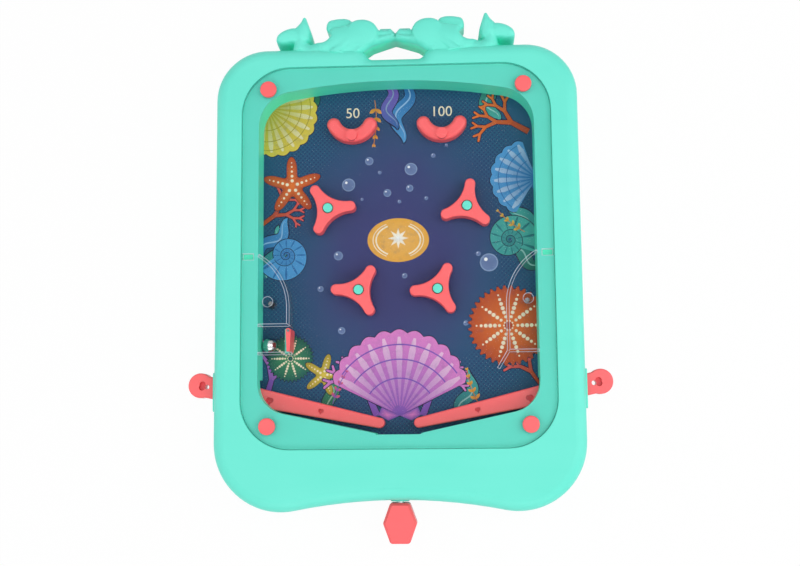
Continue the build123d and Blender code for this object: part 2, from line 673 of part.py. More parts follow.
# Back shell
stand_mid_y = STAND_HINGE_Y - (STAND_L - STAND_KNUCKLE_R) / 2
stand_bay_l = STAND_L + STAND_KNUCKLE_R + 2 * STAND_GAP
stand_bay_mid_y = STAND_HINGE_Y + STAND_KNUCKLE_R + STAND_GAP - stand_bay_l / 2
stand_bay_half_w = STAND_HALF_W + STAND_GAP
with BuildPart() as back_shell:
    with BuildSketch(level(FOOT_PROUD)):
        add(body_profile())
    extrude(amount=PARTING_Z - FOOT_PROUD)
    fillet(back_shell.faces().sort_by(Axis.Z)[0].edges(), radius=BACK_EDGE_R)
    with BuildSketch(level(FLOOR_Z)):
        add(body_profile(SHELL_WALL))
    extrude(amount=PARTING_Z - FLOOR_Z, mode=Mode.SUBTRACT)
    # Bosses for the shell screws, columns under the tray and seats for the pivot pins
    with BuildSketch(level(FLOOR_Z)):
        with Locations(*SHELL_SCREW_PLACES):
            Circle(SCREW_BOSS_R)
    extrude(amount=PARTING_Z - FLOOR_Z)
    column_y = TRAY_HALF_L - TRAY_CORNER_R
    column_x = TRAY_HALF_W - SCREW_BOSS_R
    with BuildSketch(level(FLOOR_Z)):
        with Locations(*[(side * column_x, end * column_y) for side in (-1, 1) for end in (-1, 0, 1)]):
            Circle(SCREW_BOSS_R)
    extrude(amount=TRAY_LOW_Z - FLOOR_Z)
    with BuildSketch(level(FLOOR_Z)):
        with Locations(*PIVOT_PLACES):
            Circle(PIVOT_BOSS_R)
    extrude(amount=LEVER_LOW_Z - LIFT - FLOOR_Z)
    with BuildSketch(level(LEVER_LOW_Z)):
        with Locations(*PIVOT_PLACES):
            Circle(PIVOT_PIN_R + FIT)
    extrude(amount=-PIVOT_SEAT - LIFT, mode=Mode.SUBTRACT)
    # Bay for the fold-out stand, with a finger scoop at its free end
    with BuildSketch(level(FLOOR_Z)):
        with Locations((0, stand_bay_mid_y)):
            Rectangle(2 * (stand_bay_half_w + SHELL_WALL), stand_bay_l + 2 * SHELL_WALL)
        with Locations((0, stand_bay_mid_y - stand_bay_l / 2 - FINGER_L / 2)):
            Rectangle(2 * (FINGER_HALF_W + SHELL_WALL), FINGER_L + 2 * SHELL_WALL)
    extrude(amount=STAND_ROOF_Z + SHELL_WALL - FLOOR_Z)
    with BuildSketch(level(FOOT_PROUD)):
        with Locations((0, stand_bay_mid_y)):
            Rectangle(2 * stand_bay_half_w, stand_bay_l)
        with Locations((0, stand_bay_mid_y - stand_bay_l / 2 - FINGER_L / 2)):
            Rectangle(2 * FINGER_HALF_W, FINGER_L)
    extrude(amount=STAND_ROOF_Z - FOOT_PROUD, mode=Mode.SUBTRACT)
    pin_plane = Plane(origin=(0, CENTRE_Y + STAND_HINGE_Y, STAND_Z), x_dir=(0, 1, 0), z_dir=(1, 0, 0))
    with BuildSketch(pin_plane):
        Circle(STAND_PIN_R + FIT)
    extrude(amount=stand_bay_half_w + STAND_PIN_HOLD + FIT, both=True, mode=Mode.SUBTRACT)
    # Foot seats and recessed screw holes
    with BuildSketch(level(FOOT_PROUD)):
        with Locations(*FOOT_PLACES):
            Circle(FOOT_R + FIT)
    extrude(amount=FOOT_SEAT, mode=Mode.SUBTRACT)
    with BuildSketch(level(FOOT_PROUD)):
        with Locations(*SHELL_SCREW_PLACES):
            Circle(SCREW_HEAD_R + LIFT)
    extrude(amount=SCREW_RECESS + SCREW_HEAD_H, mode=Mode.SUBTRACT)
    with BuildSketch(level(FOOT_PROUD)):
        with Locations(*SHELL_SCREW_PLACES):
            Circle(SCREW_R + LIFT)
    extrude(amount=PARTING_Z - FOOT_PROUD, mode=Mode.SUBTRACT)
save(back_shell.part, "back_shell")

# Dolphin crest, fitted to the rounded top edge of the case
with BuildPart() as dolphin_crest:
    with BuildSketch(level(PARTING_Z)):
        add(crest_profile())
    extrude(amount=TOP_Z - CREST_SINK - PARTING_Z)
    fillet(dolphin_crest.faces().sort_by(Axis.Z)[-1].outer_wire().edges(), radius=CREST_EDGE_R)
    add(case_block.part, mode=Mode.SUBTRACT)
save(dolphin_crest.part, "dolphin_crest")

# Clear cover with its lugs, ribs, ball cell and posts
rib_low_z = FIELD_Z + RIB_CLEAR
rib_reach = OPEN_HALF_W - RIB_CLEAR
arc_span = math.degrees(math.acos(1 - (LANE_W - RIB_CLEAR) / RIB_ARC_R))
with BuildPart() as clear_cover:
    with BuildSketch(level(SHELF_Z)):
        RectangleRounded(
            2 * (COVER_HALF_W - COVER_GAP), 2 * (COVER_HALF_L - COVER_GAP), COVER_CORNER_R - COVER_GAP
        )
        with Locations(*CAP_PLACES):
            Circle(CAP_SHANK_R + LIFT, mode=Mode.SUBTRACT)
    extrude(amount=COVER_T)
    with BuildSketch(level(SHELF_Z)):
        with Locations((-lug_x, LUG_Y), (lug_x, LUG_Y)):
            Rectangle(LUG_W, LUG_L)
    extrude(amount=-LUG_H)
    with BuildSketch(level(rib_low_z)):
        for side, straight_end in ((-1, CELL_TOP_Y), (1, CELL_FLOOR_Y)):
            with BuildLine():
                centre = (side * (LANE_X + RIB_ARC_R), RIB_BEND_Y)
                start = 180 - arc_span if side > 0 else 0
                inner = CenterArc(centre, RIB_ARC_R - RIB_T / 2, start, arc_span)
                outer = CenterArc(centre, RIB_ARC_R + RIB_T / 2, start, arc_span)
                Line(inner @ 0, outer @ 0)
                Line(inner @ 1, outer @ 1)
            make_face()
            with Locations((side * LANE_X, (RIB_BEND_Y + straight_end) / 2)):
                Rectangle(RIB_T, RIB_BEND_Y - straight_end + RIB_T)
        # Cell roof and floor on the left, pocket floor and fin on the right
        with Locations((-(LANE_X + rib_reach) / 2, CELL_TOP_Y), ((LANE_X + rib_reach) / 2, CELL_FLOOR_Y)):
            Rectangle(rib_reach - LANE_X, RIB_T)
        with Locations((-(LANE_X - CELL_LEDGE + rib_reach) / 2, CELL_FLOOR_Y)):
            Rectangle(rib_reach - LANE_X + CELL_LEDGE, RIB_T)
        with Locations(Location((LANE_X, CELL_FLOOR_Y), FIN_ANGLE)):
            with Locations((-FIN_L / 2, 0)):
                Rectangle(FIN_L + RIB_T, RIB_T)
    extrude(amount=SHELF_Z - rib_low_z)
    with BuildSketch(level(FIELD_Z)):
        with Locations(*CLEAR_POST_PLACES):
            Circle(CLEAR_POST_R)
    extrude(amount=SHELF_Z - FIELD_Z)
    with BuildSketch(level(FIELD_Z)):
        with Locations(*CLEAR_POST_PLACES):
            Circle(SCREW_R + FIT)
    extrude(amount=SCREW_BITE + LIFT, mode=Mode.SUBTRACT)
save(clear_cover.part, "clear_cover")

# Cover caps
with BuildPart() as cover_caps:
    with BuildSketch(level(SHELF_Z + COVER_T)):
        with Locations(*CAP_PLACES):
            Circle(CAP_R)
    extrude(amount=CAP_H)
    fillet(cover_caps.edges().group_by(Axis.Z)[-1], radius=CAP_DOME)
    with BuildSketch(level(SHELF_Z + COVER_T)):
        with Locations(*CAP_PLACES):
            Circle(CAP_SHANK_R)
    extrude(amount=-CAP_SHANK_L)
save(cover_caps.part, "cover_caps")

# Playfield tray with the ball sill
sill_x = -(LANE_X + GATE_T / 2 + LIFT + SILL_W / 2)
sill_y = (CELL_TOP_Y + CELL_FLOOR_Y) / 2
sill_l = CELL_TOP_Y - CELL_FLOOR_Y - RIB_T - 2 * LIFT
with BuildPart() as playfield_tray:
    with BuildSketch(level(TRAY_LOW_Z)):
        RectangleRounded(2 * TRAY_HALF_W, 2 * TRAY_HALF_L, TRAY_CORNER_R)
        with Locations(*POST_PLACES.values(), *CUP_PLACES):
            Circle(SPIGOT_R + FIT, mode=Mode.SUBTRACT)
        with Locations(*CAP_PLACES, *CLEAR_POST_PLACES):
            Circle(SCREW_R + FIT, mode=Mode.SUBTRACT)
        with Locations(GATE_PLACE):
            Circle(GATE_PIN_R + FIT, mode=Mode.SUBTRACT)
    extrude(amount=TRAY_T)
    with BuildSketch(level(TRAY_TOP_Z)):
        with Locations((sill_x, sill_y)):
            Rectangle(SILL_W, sill_l)
    extrude(amount=BOARD_T + SILL_H)
save(playfield_tray.part, "playfield_tray")

# Printed board
with BuildPart() as playfield_board:
    with BuildSketch(level(TRAY_TOP_Z)):
        add(opening_profile(BOARD_MARGIN))
        with Locations(*CAP_PLACES):
            Circle(CAP_BOSS_R + LIFT, mode=Mode.SUBTRACT)
        with Locations(*POST_PLACES.values(), *CUP_PLACES):
            Circle(SPIGOT_R + FIT, mode=Mode.SUBTRACT)
        with Locations(*CLEAR_POST_PLACES):
            Circle(SCREW_R + FIT, mode=Mode.SUBTRACT)
        with Locations(GATE_PLACE):
            Circle(GATE_PIN_R + FIT, mode=Mode.SUBTRACT)
        with Locations((sill_x, sill_y)):
            Rectangle(SILL_W + 2 * FIT, sill_l + 2 * FIT, mode=Mode.SUBTRACT)
    extrude(amount=BOARD_T)
save(playfield_board.part, "playfield_board")

# Spinner posts
with BuildPart() as spinner_posts:
    with BuildSketch(level(TRAY_LOW_Z)):
        with Locations(*POST_PLACES.values()):
            Circle(SPIGOT_R)
    extrude(amount=FIELD_Z - TRAY_LOW_Z)
    with BuildSketch(level(FIELD_Z)):
        with Locations(*POST_PLACES.values()):
            Circle(POST_FLANGE_R)
    extrude(amount=POST_FLANGE_T)
    with BuildSketch(level(FIELD_Z)):
        with Locations(*POST_PLACES.values()):
            Circle(POST_R)
    extrude(amount=POST_H)
    fillet(spinner_posts.edges().group_by(Axis.Z)[-1], radius=POST_EDGE_R)
save(spinner_posts.part, "spinner_posts")


def spinner(place, turn):
    """Three-armed spinner with hollowed sides, round its post at place, with one arm at angle turn."""
    tip_at = SPINNER_REACH - SPINNER_TIP_R
    seat = Plane(
        origin=(place[0], CENTRE_Y + place[1], FIELD_Z + POST_FLANGE_T + LIFT),
        x_dir=(math.cos(math.radians(turn)), math.sin(math.radians(turn)), 0),
        z_dir=(0, 0, 1),
    )
    with BuildPart() as piece:
        with BuildSketch(seat):
            with BuildLine():
                for arm in (0, 120, 240):
                    heading = Vector(1, 0).rotate(Axis.Z, arm)
                    across = Vector(0, 1).rotate(Axis.Z, arm)
                    next_heading = Vector(1, 0).rotate(Axis.Z, arm + 120)
                    next_across = Vector(0, 1).rotate(Axis.Z, arm + 120)
                    waist = Vector(1, 0).rotate(Axis.Z, arm + 60) * SPINNER_WAIST
                    left = heading * tip_at + across * SPINNER_TIP_R
                    right = heading * tip_at - across * SPINNER_TIP_R
                    ThreePointArc(right, heading * SPINNER_REACH, left)
                    ThreePointArc(left, waist, next_heading * tip_at - next_across * SPINNER_TIP_R)
            make_face()
        extrude(amount=SPINNER_H)
        fillet(piece.edges().group_by(Axis.Z)[-1], radius=SPINNER_EDGE_R)
        with BuildSketch(seat):
            Circle(POST_R + SPINNER_PLAY)
        extrude(amount=SPINNER_H, mode=Mode.SUBTRACT)
    return piece.part


for spinner_name, spinner_turn in SPINNER_TURNS.items():
    save(spinner(POST_PLACES[spinner_name], spinner_turn), f"spinner_{spinner_name}")


def catch_cup(place):
    """Crescent that opens towards the crest, with a round boss on top and a spigot below."""
    bend = CenterArc((place[0], CUP_Y), CUP_R, 270 - CUP_SPAN / 2, CUP_SPAN)
    with BuildPart() as piece:
        with BuildSketch(level(FIELD_Z)):
            SlotArc(bend, CUP_LIMB_W)
        extrude(amount=CUP_H)
        fillet(piece.edges().group_by(Axis.Z)[-1], radius=CUP_EDGE_R)
        with BuildSketch(level(FIELD_Z)):
            with Locations(place):
                Circle(CUP_BOSS_R)
        extrude(amount=CUP_H + CUP_BOSS_RISE)
        with BuildSketch(level(TRAY_LOW_Z)):
            with Locations(place):
                Circle(SPIGOT_R)
        extrude(amount=FIELD_Z - TRAY_LOW_Z)
    return piece.part


for cup_side, cup_place in zip(("left", "right"), CUP_PLACES):
    save(catch_cup(cup_place), f"{cup_side}_catch_cup")


def flipper(side):
    """Lever with the flipper inside the case and the finger tab outside it."""
    with BuildPart() as piece:
        with BuildSketch(lever_plane(side, LEVER_LOW_Z)):
            add(lever_profile())
        extrude(amount=LEVER_H)
        fillet(piece.edges().group_by(Axis.Z)[-1], radius=LEVER_EDGE_R)
        with BuildSketch(lever_plane(side, LEVER_LOW_Z)):
            Circle(PIVOT_PIN_R + RUN)
            with Locations((-TAB_HOLE_AT, 0)):
                Circle(TAB_HOLE_R)
        extrude(amount=LEVER_H, mode=Mode.SUBTRACT)
        with BuildSketch(lever_plane(side, LEVER_TOP_Z)):
            for place, size in zip(DENT_PLACES, DENT_RADII):
                with Locations(Location((place, 0), 0 if side < 0 else 180)):
                    add(heart_profile(size))
            with Locations(Location((-TAB_DENT_AT, 0), 90)):
                add(heart_profile(TAB_DENT_R))
        extrude(amount=-DENT_DEPTH, mode=Mode.SUBTRACT)
    return piece.part


for flipper_side, side in (("left", -1), ("right", 1)):
    save(flipper(side), f"{flipper_side}_flipper")

# Pivot pins
with BuildPart() as flipper_pins:
    with BuildSketch(level(LEVER_LOW_Z - PIVOT_SEAT)):
        with Locations(*PIVOT_PLACES):
            Circle(PIVOT_PIN_R)
    extrude(amount=LEVER_H + 2 * PIVOT_SEAT)
save(flipper_pins.part, "flipper_pins")

# Flipper return springs, wound round the pivot bosses with the lower legs just above the levers
leg_drop = FLIP_LEG * FLIP_PITCH / (2 * math.pi * FLIP_COIL_R)
for flipper_side, side in (("left", -1), ("right", 1)):
    spring_plane = lever_plane(side, LEVER_TOP_Z + LIFT + FLIP_WIRE_R + leg_drop)
    spring_path = coil_path(spring_plane, FLIP_COIL_R, FLIP_PITCH, FLIP_TURNS, FLIP_LEG)
    save(coil(spring_path, FLIP_WIRE_R), f"{flipper_side}_flipper_spring")
print("flipper spring least gap", least_gap(FLIP_PITCH, FLIP_COIL_R, FLIP_TURNS, FLIP_WIRE_R))

# Plunger knob: a long hexagon on the end of the rod
with BuildPart() as plunger_knob:
    with BuildSketch(level(PLUNGER_Z - KNOB_H / 2)):
        with BuildLine():
            knob_mid_y = -(KNOB_TOP_Y + KNOB_END_Y) / 2
            Polyline(
                (0, -KNOB_TOP_Y),
                (KNOB_END_HALF_W, -KNOB_TOP_Y),
                (KNOB_HALF_W, knob_mid_y),
                (KNOB_END_HALF_W, -KNOB_END_Y),
                (0, -KNOB_END_Y),
            )
            mirror(about=Plane.YZ)
        make_face()
    extrude(amount=KNOB_H)
    fillet(plunger_knob.edges().filter_by(Axis.Z), radius=KNOB_CORNER_R)
    chamfer(plunger_knob.faces().group_by(Axis.Z)[-1].edges(), length=KNOB_EDGE)
    chamfer(plunger_knob.faces().group_by(Axis.Z)[0].edges(), length=KNOB_EDGE)
    with BuildSketch(facing_front(-KNOB_TOP_Y, PLUNGER_Z)):
        Circle(ROD_R + FIT)
    extrude(amount=ROD_IN_KNOB, mode=Mode.SUBTRACT)
save(plunger_knob.part, "plunger_knob")

# Plunger rod, from the striker's face plate to the knob
with BuildPart() as plunger_rod:
    with BuildSketch(facing_front(-STRIKER_FACE_Y - STRIKER_T, PLUNGER_Z)):
        Circle(ROD_R)
    extrude(amount=KNOB_TOP_Y + ROD_IN_KNOB - STRIKER_FACE_Y - STRIKER_T)
save(plunger_rod.part, "plunger_rod")

# Striker: the plate that hits the ball, with a hub on the rod
with BuildPart() as plunger_striker:
    with BuildSketch(facing_front(-STRIKER_FACE_Y, PLUNGER_Z)):
        Rectangle(2 * STRIKER_HALF_W, STRIKER_H)
    extrude(amount=STRIKER_T)
    with BuildSketch(facing_front(-STRIKER_FACE_Y - STRIKER_T, PLUNGER_Z)):
        Circle(STRIKER_HUB_R)
        Circle(ROD_R + FIT, mode=Mode.SUBTRACT)
    extrude(amount=STRIKER_HUB_L)
save(plunger_striker.part, "plunger_striker")

# Bush in the lower wall
with BuildPart() as plunger_bush:
    with BuildSketch(facing_front(-BUSH_IN_Y, PLUNGER_Z)):
        Circle(BUSH_R)
        Circle(ROD_R + RUN, mode=Mode.SUBTRACT)
    extrude(amount=BUSH_SEAT_Y - BUSH_IN_Y)
    with BuildSketch(facing_front(-BUSH_SEAT_Y, PLUNGER_Z)):
        Circle(BUSH_LIP_R)
        Circle(ROD_R + RUN, mode=Mode.SUBTRACT)
    extrude(amount=BUSH_LIP_T)
save(plunger_bush.part, "plunger_bush")

# Plunger spring between the striker's hub and the bush
spring_length = BUSH_IN_Y - SPRING_TOP_Y - 2 * PLUNGER_WIRE_R - 2 * LIFT
plunger_pitch = spring_length / PLUNGER_TURNS
plunger_spring_plane = facing_front(-SPRING_TOP_Y - PLUNGER_WIRE_R - LIFT, PLUNGER_Z)
plunger_spring_path = coil_path(plunger_spring_plane, PLUNGER_COIL_R, plunger_pitch, PLUNGER_TURNS)
save(coil(plunger_spring_path, PLUNGER_WIRE_R), "plunger_spring")
print("plunger spring least gap", least_gap(plunger_pitch, PLUNGER_COIL_R, PLUNGER_TURNS, PLUNGER_WIRE_R))

# Steel ball in its cell
ball_x = -(OPEN_HALF_W - BALL_R - BALL_WALL_GAP)
ball_y = CELL_FLOOR_Y + RIB_T / 2 + BALL_R + LIFT
with BuildPart() as steel_ball:
    with Locations((ball_x, CENTRE_Y + ball_y, FIELD_Z + BALL_R + FIT)):
        Sphere(BALL_R)
save(steel_ball.part, "steel_ball")

# Swing gate and its pin
with BuildPart() as ball_gate:
    with BuildSketch(level(GATE_LOW_Z)):
        with Locations(GATE_PLACE):
            Circle(GATE_T / 2)
        with BuildLine():
            Polyline(
                (-LANE_X - GATE_T / 2, GATE_Y),
                (-LANE_X - GATE_TIP_HALF_T, GATE_Y - GATE_L + GATE_T / 2),
                (-LANE_X + GATE_TIP_HALF_T, GATE_Y - GATE_L + GATE_T / 2),
                (-LANE_X + GATE_T / 2, GATE_Y),
                close=True,
            )
        make_face()
        with Locations(GATE_PLACE):
            Circle(GATE_PIN_R + RUN, mode=Mode.SUBTRACT)
    extrude(amount=GATE_TOP_Z - GATE_LOW_Z)
save(ball_gate.part, "ball_gate")

with BuildPart() as gate_pin:
    with BuildSketch(level(TRAY_LOW_Z)):
        with Locations(GATE_PLACE):
            Circle(GATE_PIN_R)
    extrude(amount=SHELF_Z - LIFT - TRAY_LOW_Z)
save(gate_pin.part, "gate_pin")

# Screws
shell_head_z = FOOT_PROUD + SCREW_RECESS
shell_screw_l = PARTING_Z + SCREW_BITE - shell_head_z - SCREW_HEAD_H
save(screw_group(SHELL_SCREW_PLACES, shell_head_z, shell_screw_l), "shell_screws")
save(screw_group(CAP_PLACES, TRAY_LOW_Z - SCREW_HEAD_H, TRAY_T + SCREW_BITE), "tray_screws")
save(screw_group(CLEAR_POST_PLACES, TRAY_LOW_Z - SCREW_HEAD_H, TRAY_T + BOARD_T + SCREW_BITE), "cover_screws")

# Rubber feet
with BuildPart() as rubber_feet:
    with BuildSketch(level(0)):
        with Locations(*FOOT_PLACES):
            Circle(FOOT_R)
    extrude(amount=FOOT_PROUD + FOOT_SEAT)
    fillet(rubber_feet.edges().group_by(Axis.Z)[0], radius=FOOT_EDGE_R)
save(rubber_feet.part, "rubber_feet")

# Fold-out stand and its hinge pin
with BuildPart() as prop_stand:
    with BuildSketch(level(STAND_Z - STAND_T / 2)):
        with Locations((0, stand_mid_y - STAND_KNUCKLE_R / 2)):
            RectangleRounded(2 * STAND_HALF_W, STAND_L - STAND_KNUCKLE_R, STAND_CORNER_R)
            Rectangle(
                2 * STAND_WINDOW_SHARE * STAND_HALF_W,
                STAND_WINDOW_SHARE * (STAND_L - STAND_KNUCKLE_R),
                mode=Mode.SUBTRACT,
            )
    extrude(amount=STAND_T)
    with BuildSketch(pin_plane):
        Circle(STAND_KNUCKLE_R)
    extrude(amount=STAND_HALF_W, both=True)
    with BuildSketch(pin_plane):
        Circle(STAND_PIN_R + RUN)
    extrude(amount=STAND_HALF_W, both=True, mode=Mode.SUBTRACT)
save(prop_stand.part, "prop_stand")

with BuildPart() as stand_pin:
    with BuildSketch(pin_plane):
        Circle(STAND_PIN_R)
    extrude(amount=stand_bay_half_w + STAND_PIN_HOLD, both=True)
save(stand_pin.part, "stand_pin")
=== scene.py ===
import json
import logging
import math
from contextlib import contextmanager
from dataclasses import dataclass, field, replace
from enum import Enum
from functools import wraps
from typing import Callable, Iterable, Iterator, Sequence

import bmesh
import bpy
import numpy as np
from mathutils import Matrix, Vector
from mathutils.bvhtree import BVHTree
from mathutils.geometry import delaunay_2d_cdt
from mathutils.kdtree import KDTree


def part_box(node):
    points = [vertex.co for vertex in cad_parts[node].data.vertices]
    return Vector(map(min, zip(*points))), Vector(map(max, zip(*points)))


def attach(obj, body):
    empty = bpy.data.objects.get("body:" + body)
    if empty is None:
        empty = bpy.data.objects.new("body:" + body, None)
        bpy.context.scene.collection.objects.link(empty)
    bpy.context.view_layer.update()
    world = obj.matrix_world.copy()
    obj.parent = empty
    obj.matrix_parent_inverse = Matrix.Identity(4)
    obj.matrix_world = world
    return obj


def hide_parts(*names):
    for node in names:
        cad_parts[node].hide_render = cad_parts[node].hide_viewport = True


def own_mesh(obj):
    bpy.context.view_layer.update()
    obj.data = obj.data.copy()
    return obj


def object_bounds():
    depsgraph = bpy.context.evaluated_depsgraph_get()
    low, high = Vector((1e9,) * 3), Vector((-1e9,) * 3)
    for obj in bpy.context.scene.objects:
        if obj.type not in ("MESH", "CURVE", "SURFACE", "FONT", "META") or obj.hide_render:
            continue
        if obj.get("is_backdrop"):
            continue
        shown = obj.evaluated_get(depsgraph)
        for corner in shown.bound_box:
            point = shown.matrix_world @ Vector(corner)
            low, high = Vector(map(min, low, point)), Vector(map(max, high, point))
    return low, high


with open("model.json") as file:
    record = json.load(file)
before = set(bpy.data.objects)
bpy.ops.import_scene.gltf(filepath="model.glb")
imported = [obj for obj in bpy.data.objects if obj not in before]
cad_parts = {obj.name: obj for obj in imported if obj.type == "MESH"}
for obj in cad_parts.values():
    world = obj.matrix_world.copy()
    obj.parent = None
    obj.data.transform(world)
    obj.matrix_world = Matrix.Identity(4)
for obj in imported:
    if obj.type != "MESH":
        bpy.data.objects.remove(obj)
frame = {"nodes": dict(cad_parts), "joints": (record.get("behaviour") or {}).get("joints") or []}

# Dresses the tabletop pinball game: moulded plastics, printed playfield, sculpted crest and studio.
# Plan places are millimetres in the layout, whose centre is the middle of the four cover caps.
# Heights, depths and finishes are in metres, and a noise's scale is its features per metre.

LOG = logging.getLogger("pinball")
CAD_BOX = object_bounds()
MM = 0.001
TINY = 1e-12
WHITE = (1.0, 1.0, 1.0)
BLACK = (0.0, 0.0, 0.0)

Colour = tuple[float, float, float]
Point = tuple[float, float]


def linear(red: int, green: int, blue: int) -> Colour:
    """Linear colour of a screen colour.

    Args:
        red: Red from 0 to 255.
        green: Green from 0 to 255.
        blue: Blue from 0 to 255.

    Returns:
        The colour's three linear values.
    """

    def one(value: int) -> float:
        """Linear value of one channel."""
        share = value / 255
        return share / 12.92 if share <= 0.04045 else ((share + 0.055) / 1.055) ** 2.4

    return one(red), one(green), one(blue)


class Tone(Enum):
    """Inks and plastics, as linear colours."""

    MINT = linear(111, 232, 212)
    MINT_DEEP = linear(94, 224, 202)
    MINT_INNER = linear(80, 206, 184)
    RED = linear(254, 100, 103)
    RED_DEEP = linear(249, 86, 91)
    NAVY = linear(58, 62, 112)
    TEAL = linear(34, 84, 116)
    DOT = linear(30, 50, 92)
    LINE = linear(30, 34, 58)
    AMBER = linear(222, 166, 70)
    AMBER_DEEP = linear(196, 128, 46)
    CREAM = linear(236, 224, 196)
    YELLOW = linear(214, 190, 76)
    YELLOW_DEEP = linear(164, 146, 52)
    ORANGE = linear(226, 118, 52)
    ORANGE_DEEP = linear(176, 74, 38)
    CORAL = linear(222, 92, 92)
    PINK = linear(214, 128, 196)
    PURPLE = linear(122, 84, 176)
    BLUE = linear(78, 150, 204)
    BLUE_DEEP = linear(44, 100, 158)
    GREEN = linear(66, 146, 96)
    GREEN_DEEP = linear(34, 92, 80)
    SEA = linear(70, 166, 158)
    SEA_DEEP = linear(36, 106, 116)
    BUBBLE = linear(104, 126, 168)
    BUBBLE_RIM = linear(132, 156, 190)
    PAPER = linear(236, 240, 240)


Ink = Tone | Colour


def ink_values(ink: object) -> object:
    """Values of an ink that is given by its tone; anything else as it is."""
    return ink.value if isinstance(ink, Tone) else ink


def mixed(first: Ink, second: Ink, share: float) -> Colour:
    """Colour that lies the given share of the way from the first to the second."""
    return tuple(a + (b - a) * share for a, b in zip(ink_values(first), ink_values(second)))


@dataclass(frozen=True)
class Layout:
    """Places that the frame gives: the layout's centre and the main heights, in metres."""

    centre_y: float
    field_z: float
    top_z: float

    @classmethod
    def from_frame(cls) -> "Layout":
        """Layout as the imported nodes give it."""
        low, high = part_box("cover_caps")
        board_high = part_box("playfield_board")[1]
        frame_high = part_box("front_frame")[1]
        return cls((low.y + high.y) / 2, board_high.z, frame_high.z)

    def at(self, x: float, y: float, z: float) -> Vector:
        """Point of the row frame.

        Args:
            x: Layout place across, in millimetres.
            y: Layout place towards the crest, in millimetres.
            z: Height in metres.

        Returns:
            The point in metres.
        """
        return Vector((x * MM, self.centre_y + y * MM, z))


class Wire:
    """A shader value that takes part in Python sums, adding its Math nodes as it goes."""

    def __init__(self, bench: "Bench", socket: bpy.types.NodeSocket) -> None:
        """Wraps a socket.

        Args:
            bench: The material's bench that adds nodes.
            socket: The output socket that carries the value.
        """
        self.bench = bench
        self.socket = socket

    def _sum(self, operation: str, *terms: "Wire | float") -> "Wire":
        """Result of a Math node on this bench."""
        node = self.bench.add("ShaderNodeMath", {"operation": operation}, dict(enumerate(terms)))
        return Wire(self.bench, node.outputs[0])

    def __add__(self, other: "Wire | float") -> "Wire":
        """Sum of two values."""
        return self._sum("ADD", self, other)

    def __radd__(self, other: float) -> "Wire":
        """Sum with a number on the left."""
        return self._sum("ADD", other, self)

    def __sub__(self, other: "Wire | float") -> "Wire":
        """Difference of two values."""
        return self._sum("SUBTRACT", self, other)

    def __rsub__(self, other: float) -> "Wire":
        """Difference from a number on the left."""
        return self._sum("SUBTRACT", other, self)

    def __mul__(self, other: "Wire | float") -> "Wire":
        """Product of two values."""
        return self._sum("MULTIPLY", self, other)

    def __rmul__(self, other: float) -> "Wire":
        """Product with a number on the left."""
        return self._sum("MULTIPLY", other, self)

    def __pow__(self, power: float) -> "Wire":
        """Value raised to a power."""
        return self._sum("POWER", self, power)

    def fraction(self) -> "Wire":
        """Part of the value after the point."""
        return self._sum("FRACT", self)

    def root(self) -> "Wire":
        """Square root."""
        return self._sum("SQRT", self)

    def most(self, other: "Wire | float") -> "Wire":
        """The larger of two values."""
        return self._sum("MAXIMUM", self, other)

    def eased(self, low: float, high: float) -> "Wire":
        """Smooth step that is 0 at low and 1 at high.

        Args:
            low: Value where the step starts.
            high: Value where the step ends.

        Returns:
            The stepped value.
        """
        node = self.bench.add(
            "ShaderNodeMapRange",
            {"interpolation_type": "SMOOTHSTEP"},
            {"Value": self, "From Min": low, "From Max": high, "To Min": 0.0, "To Max": 1.0},
        )
        return Wire(self.bench, node.outputs["Result"])


